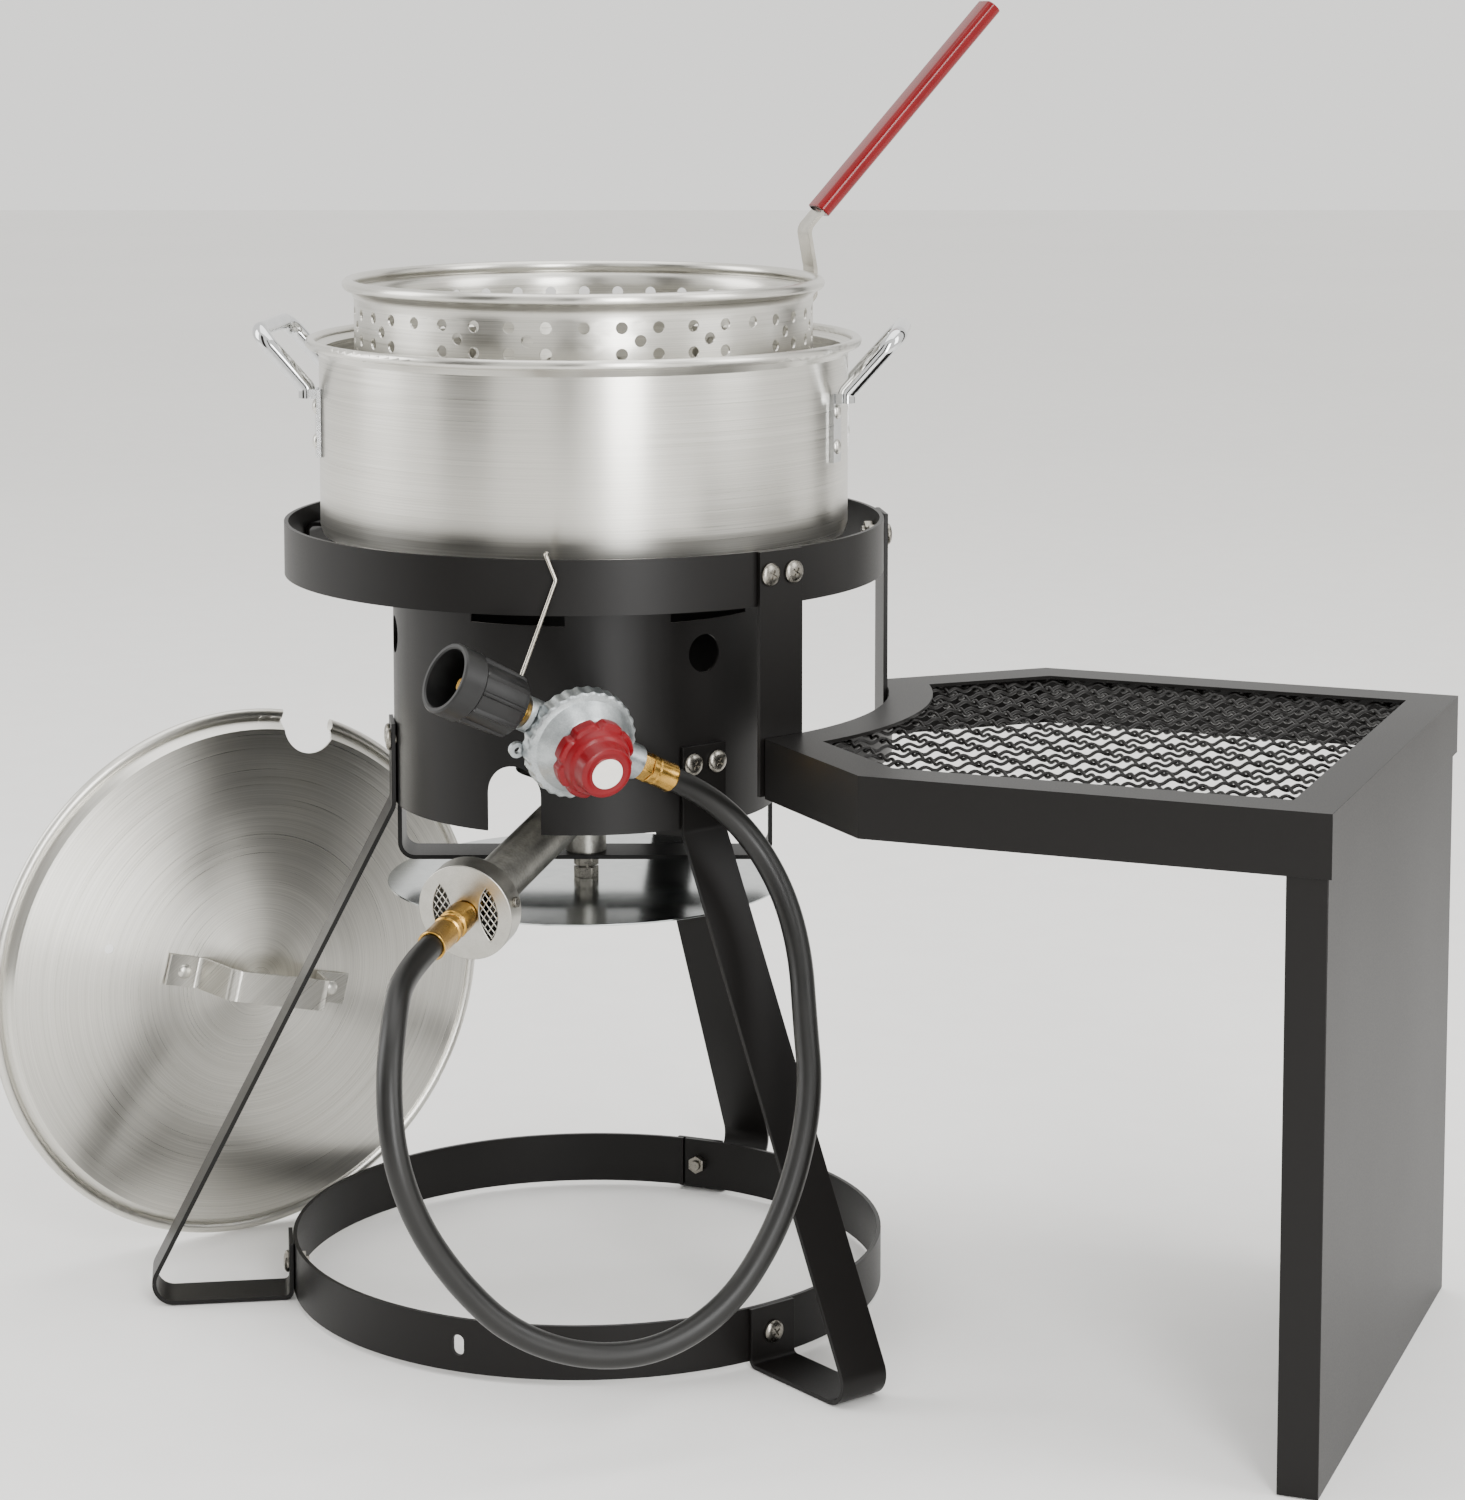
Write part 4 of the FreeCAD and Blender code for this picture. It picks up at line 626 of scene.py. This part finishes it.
def screws(node, azimuths):
    """Screws whose axes point straight out from the stand at one of these azimuths."""
    bm = bmesh.new()
    rays = [Vector((math.cos(math.radians(a)), math.sin(math.radians(a)), 0)) for a in azimuths]
    for number, spots in enumerate(islands(node)):
        centre = sum(spots, Vector()) / len(spots)
        axis = max(rays, key=lambda ray: ray.dot(Vector((centre.x, centre.y, 0)).normalized()))
        middle, low, high = shank_line(spots, axis)
        base = high - HEAD_HEIGHT
        head = bmesh.new()
        head.from_mesh(screw_head)
        turned = Matrix.Rotation(NEXT_TURN * number + FIRST_TURN, 4, "Z")
        place = on_axis(middle + axis * base * MM, axis) @ turned
        bmesh.ops.transform(head, matrix=place, verts=head.verts)
        join(bm, head)
        join(bm, spun([(0, low), (SHANK_RADIUS, low), (SHANK_RADIUS, base), (0, base)],
                      on_axis(middle, axis), 16, closed=False))
    return bm


for node, azimuths in (("leg_screws", (-52, 68, 188)), ("strap_screws", (-50.3, 7.3))):
    finish_piece(node + "_crossed", screws(node, azimuths), node, finishes["zinc_screws"])


# %% Rivets
RIVET_HEAD, RIVET_DOME, RIVET_SHANK = 4.6, 2.2, 2.4
RIVET_CAP = [(RIVET_HEAD, RIVET_DOME), (4.3, 1.4), (3.4, 0.6), (1.9, 0.12), (0, 0)]


def rivets(node, axis_at):
    """Rivets with a dome at each end; axis_at gives the axis of one at its centre."""
    bm = bmesh.new()
    for spots in islands(node):
        axis = axis_at(sum(spots, Vector()) / len(spots))
        middle, low, high = shank_line(spots, axis)
        outline = [(radius, low + drop) for radius, drop in reversed(RIVET_CAP)]
        outline += [(RIVET_SHANK, low + RIVET_DOME), (RIVET_SHANK, high - RIVET_DOME)]
        outline += [(radius, high - drop) for radius, drop in RIVET_CAP]
        join(bm, spun(outline, on_axis(middle, axis), 24, closed=False))
    return bm


def straight_out(spot):
    return Vector((spot.x, spot.y, 0)).normalized()


for node in ("pot_rivets", "basket_rivets", "arm_rivets", "bracket_rivets"):
    finish_piece(node + "_domed", rivets(node, straight_out), node, finishes[slot_of_node[node]])
finish_piece("lid_rivets_domed", rivets("lid_rivets", lambda spot: lid_normal),
             "lid_rivets", lid_finish)
print("screws and rivets done")

# %% [markdown]
# ## The woven table top
# Each wire is crimped before weaving, with one and a half waves from each crossing
# to the next, so it goes over one and under the other. The frame has two layers of
# straight wires, which say where each one starts and ends. A wire's own number
# decides whether it starts high or low, and then every crossing has one wire above
# and one below.

# %% Read the straight wires
MESH_PITCH = 0.020
MESH_WIRE = 0.00105
MESH_REACH = 0.3203
table_turn = math.radians(-21.5)
mesh_low, mesh_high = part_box("table_mesh")
mesh_middle = Vector((MESH_REACH * math.cos(table_turn), MESH_REACH * math.sin(table_turn), 0))
weave_level = (mesh_low.z + mesh_high.z) / 2


def straight_wires():
    wires = []
    for spots in islands("table_mesh"):
        first = max(spots, key=lambda spot: (spot - spots[0]).length)
        last = max(spots, key=lambda spot: (spot - first).length)
        wires.append((first, last))
    return wires


# %% Weave the crimped wires
HALF_WAVES = 3
STEPS_A_CELL = 15
SWAY = 1.1


def crimped_wires():
    """Every straight wire again, as a wave about the level of the mesh's middle."""
    curve = bpy.data.curves.new("weave_line", "CURVE")
    curve.dimensions = "3D"
    curve.bevel_depth = MESH_WIRE
    curve.bevel_resolution = 1
    curve.use_fill_caps = True
    families = [Vector((math.cos(table_turn + a), math.sin(table_turn + a), 0))
                for a in (math.radians(45), math.radians(-45))]
    for first, last in straight_wires():
        run = Vector((last.x - first.x, last.y - first.y, 0))
        family = 0 if abs(run.normalized().dot(families[0])) > 0.7 else 1
        along = families[family]
        across = Vector((-along.y, along.x, 0))
        centre = Vector(((first.x + last.x) / 2, (first.y + last.y) / 2, 0)) - mesh_middle
        number = round(centre.dot(across) / MESH_PITCH)
        start, end = sorted(((first - mesh_middle).dot(along), (last - mesh_middle).dot(along)))
        side = 1 if family == 0 else -1
        count = max(3, round((end - start) / (MESH_PITCH / STEPS_A_CELL)))
        spline = curve.splines.new("POLY")
        spline.points.add(count)
        for step, point in enumerate(spline.points):
            reach = start + (end - start) * step / count
            phase = math.pi * (HALF_WAVES * reach / MESH_PITCH + number)
            spot = mesh_middle + along * reach + across * (number * MESH_PITCH)
            level = weave_level + side * MESH_WIRE * SWAY * math.cos(phase)
            point.co = (spot.x, spot.y, level, 1)
    holder = put_in_scene("weave_holder", curve)
    mesh = bpy.data.meshes.new_from_object(
        holder.evaluated_get(bpy.context.evaluated_depsgraph_get()))
    bpy.data.objects.remove(holder)
    bm = bmesh.new()
    bm.from_mesh(mesh)
    return bm


finish_piece("table_mesh_woven", crimped_wires(), "table_mesh", finishes["black_coat"], sharp=60)
print("table mesh woven")

# %% [markdown]
# ## The punched basket
# The basket's wall is a sheet with round holes in staggered groups, rolled into a
# drum. One tile with a round hole is a circle whose edge is pushed out to the tile's
# edge. Copies of it make the flat sheet, and bending the sheet makes the drum.

# %% Basket sizes from the frame
HOLE_MM = 6.9
ROW_MM = 7.4
COLUMNS = 80
PATTERN_COLUMNS = 10
RIM_OVERHANG_MM, RIM_BAND_MM, FOOT_MM = 7, 14, 7
BEAD_MM, BEAD_STEPS = 3, 12
SHEET_MM = 1.2
CLOSE_MM = 0.02
basket_low, basket_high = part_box("basket_body")
basket_centre = (basket_low + basket_high) / 2
rim_radius = (basket_high.x - basket_low.x) / 2 / MM
drum_radius = rim_radius - RIM_OVERHANG_MM
rim_top = basket_high.z / MM
floor_level = basket_low.z / MM
column_mm = math.tau * drum_radius / COLUMNS
drum_base = floor_level + FOOT_MM
ROWS = int((rim_top - RIM_BAND_MM - drum_base) / ROW_MM)
drum_top = drum_base + ROWS * ROW_MM
HOLES_IN_ROW = [(0, 2, 4, 6, 8), (3, 7), (2, 4, 6, 8), (1, 3, 7, 9)]
print("drum radius", drum_radius, "rows", ROWS, "column", column_mm)


# %% Punched wall
def punched_tile(bm, x, z, has_hole):
    """A circle whose edge is pushed out to the edge of its tile."""
    place = Matrix.Translation((x, 0, z)) @ Matrix.Rotation(math.pi / 2, 4, "X")
    made = bmesh.ops.create_circle(bm, segments=16, radius=HOLE_MM / 2 * MM,
                                   cap_ends=not has_hole, matrix=place)
    moved = made["verts"]
    if has_hole:
        rim = list({edge for vert in moved for edge in vert.link_edges})
        grown = bmesh.ops.extrude_edge_only(bm, edges=rim)["geom"]
        moved = [item for item in grown if isinstance(item, bmesh.types.BMVert)]
    for vert in moved:
        out_x, out_z = vert.co.x - x, vert.co.z - z
        longest = max(abs(out_x), abs(out_z))
        vert.co.x = x + out_x / longest * column_mm / 2 * MM
        vert.co.z = z + out_z / longest * ROW_MM / 2 * MM


def punched_wall():
    """A flat sheet of tiles, bent round into a drum; its lowest row has no holes."""
    bm = bmesh.new()
    for column in range(COLUMNS):
        for row in range(ROWS):
            from_top = ROWS - 1 - row
            pattern = HOLES_IN_ROW[from_top % len(HOLES_IN_ROW)]
            punched = column % PATTERN_COLUMNS in pattern and row > 0
            punched_tile(bm, (column + 0.5) * column_mm * MM,
                         (drum_base + (row + 0.5) * ROW_MM) * MM, punched)
    bmesh.ops.remove_doubles(bm, verts=bm.verts, dist=CLOSE_MM * MM)
    for vert in bm.verts:
        angle = vert.co.x / (drum_radius * MM)
        vert.co.x = drum_radius * MM * math.cos(angle)
        vert.co.y = drum_radius * MM * math.sin(angle)
    bmesh.ops.remove_doubles(bm, verts=bm.verts, dist=CLOSE_MM * MM)
    bmesh.ops.recalc_face_normals(bm, faces=bm.faces)
    return bm


def basket_shell():
    """The punched wall with its plain floor below and its rolled rim above."""
    bm = punched_wall()
    below = [(0, floor_level + 0.8), (drum_radius - 6, floor_level + 0.8),
             (drum_radius - 2, floor_level + 2.4), (drum_radius, drum_base)]
    above = [(drum_radius, drum_top), (drum_radius, rim_top - 11),
             (drum_radius + 1.6, rim_top - 8), (rim_radius - 3.2, rim_top - 6)]
    for outline in (below, above):
        join(bm, spun(outline, Matrix.Identity(4), COLUMNS * 2, closed=False))
    bead = []
    for number in range(BEAD_STEPS):
        angle = math.tau * number / BEAD_STEPS
        bead.append((rim_radius - BEAD_MM + BEAD_MM * math.cos(angle),
                     rim_top - BEAD_MM + BEAD_MM * math.sin(angle)))
    join(bm, spun(bead, Matrix.Identity(4), COLUMNS * 2))
    bmesh.ops.translate(bm, verts=bm.verts, vec=(basket_centre.x, basket_centre.y, 0))
    return bm


basket = finish_piece("basket_body_punched", basket_shell(), "basket_body",
                      finishes["spun_aluminium"], sharp=40)
wall = basket.modifiers.new("sheet_gauge", "SOLIDIFY")
wall.thickness = SHEET_MM * MM
wall.offset = 0
print("basket faces", len(basket.data.polygons))

# %% [markdown]
# ## The air shutter's screens
# Behind each window is a fine steel mesh. It is drawn as two sets of thin wires on
# the slant, cut to a disc, in front of the dark mixing tube.

# %% Shutter screens
SCREEN_REACH_MM, SCREEN_PITCH_MM, SCREEN_WIRE_MM = 24.0, 3.3, 0.45
SCREEN_SLANTS = (35, -35)
SCREEN_SINK_MM = 0.4


def shutter_mesh():
    bm = bmesh.new()
    place = on_axis(shutter_origin, shutter_axis)
    inverse = place.inverted()
    levels = [(inverse @ vert.co).z for vert in frame["nodes"]["shutter_screen"].data.vertices]
    level = max(levels) - SCREEN_SINK_MM * MM
    reach, pitch, wire = SCREEN_REACH_MM * MM, SCREEN_PITCH_MM * MM, SCREEN_WIRE_MM * MM
    most = int(SCREEN_REACH_MM / SCREEN_PITCH_MM)
    for slant in SCREEN_SLANTS:
        spin = Matrix.Rotation(math.radians(slant), 4, "Z")
        for number in range(-most, most + 1):
            offset = number * pitch
            half = math.sqrt(reach ** 2 - offset ** 2)
            shape = Matrix.Translation((offset, 0, level)) @ Matrix.Rotation(math.pi / 2, 4, "X")
            bmesh.ops.create_cone(bm, cap_ends=True, segments=6, radius1=wire, radius2=wire,
                                  depth=2 * half, matrix=place @ spin @ shape)
    return bm


finish_piece("shutter_screen_wires", shutter_mesh(), "shutter_screen",
             finishes["pressed_steel"], sharp=70)

# %% [markdown]
# ## Hidden pieces
# What is inside the regulator and the casting keeps its engineering shape, and only
# needs its own surface.

# %% Surfaces of the pieces that are left
for node, thing in frame["nodes"].items():
    if not thing.hide_render:
        thing.data.materials.clear()
        thing.data.materials.append(finishes[slot_of_node[node]])
        print("kept as it is:", node)

# %% [markdown]
# ## Floor and light
# A pale floor, a soft light on each side, one overhead and a tall strip in front.
# They are seen in reflections only, never by the camera.

# %% Floor
FLOOR_REACH, FLOOR_DROP = 12, 0.0005
floor_bm = bmesh.new()
bmesh.ops.create_grid(floor_bm, x_segments=1, y_segments=1, size=FLOOR_REACH)
floor = mesh_object("floor", floor_bm)
floor.location.z = -FLOOR_DROP
floor.data.materials.append(
    surface("pale_floor", "#efeeec", "#f4f3f1", 0.0, 0.85, 900, 40, 0.0))

# %% World
WORLD_STRENGTH = 1.4
world = bpy.data.worlds.new("studio")
bpy.context.scene.world = world
world.use_nodes = True
backdrop = world.node_tree.nodes["Background"]
backdrop.inputs["Color"].default_value = linear("#fbfaf7")
backdrop.inputs["Strength"].default_value = WORLD_STRENGTH


# %% Lamps and grey cards
CARD_HALF_HEIGHT = 1.7


def softbox(name, place, aim, width, height, watts):
    data = bpy.data.lights.new(name, "AREA")
    data.shape = "RECTANGLE"
    data.size, data.size_y, data.energy = width, height, watts
    lamp = put_in_scene(name, data)
    lamp.location = place
    lamp.rotation_euler = (Vector(aim) - Vector(place)).to_track_quat("-Z", "Y").to_euler()


def grey_card(name, bearing, distance, width, shade):
    bm = bmesh.new()
    turned = Matrix.Rotation(math.radians(bearing), 4, "Z")
    upright = Matrix.Rotation(math.pi / 2, 4, "X")
    size = Matrix.Diagonal((width / 2, CARD_HALF_HEIGHT, 1, 1))
    away = Matrix.Translation((0, -distance, CARD_HALF_HEIGHT))
    bmesh.ops.create_grid(bm, x_segments=1, y_segments=1, size=1,
                          matrix=turned @ away @ upright @ size)
    card = mesh_object(name, bm)
    card.data.materials.append(
        surface(name + "_face", shade, shade, 0.0, 0.9, 500, 50, 0.0, shine=0.1))
    card.visible_camera = False


softbox("front_strip", (0.82, -2.35, 1.0), (0, 0, 0.5), 0.62, 2.2, 60)
softbox("left_box", (-2.5, 0.1, 1.5), (0, 0, 0.4), 1.2, 2.0, 40)
softbox("right_box", (2.4, -1.0, 1.7), (0, 0, 0.4), 1.0, 2.0, 36)
softbox("top_box", (0.2, 0.3, 2.8), (0.1, 0, 0.3), 2.4, 2.4, 40)
grey_card("left_card", -48, 2.4, 1.0, "#2c2b29")
grey_card("front_card", -4, 2.7, 0.5, "#121211")
grey_card("right_card", 124, 2.2, 0.5, "#242321")
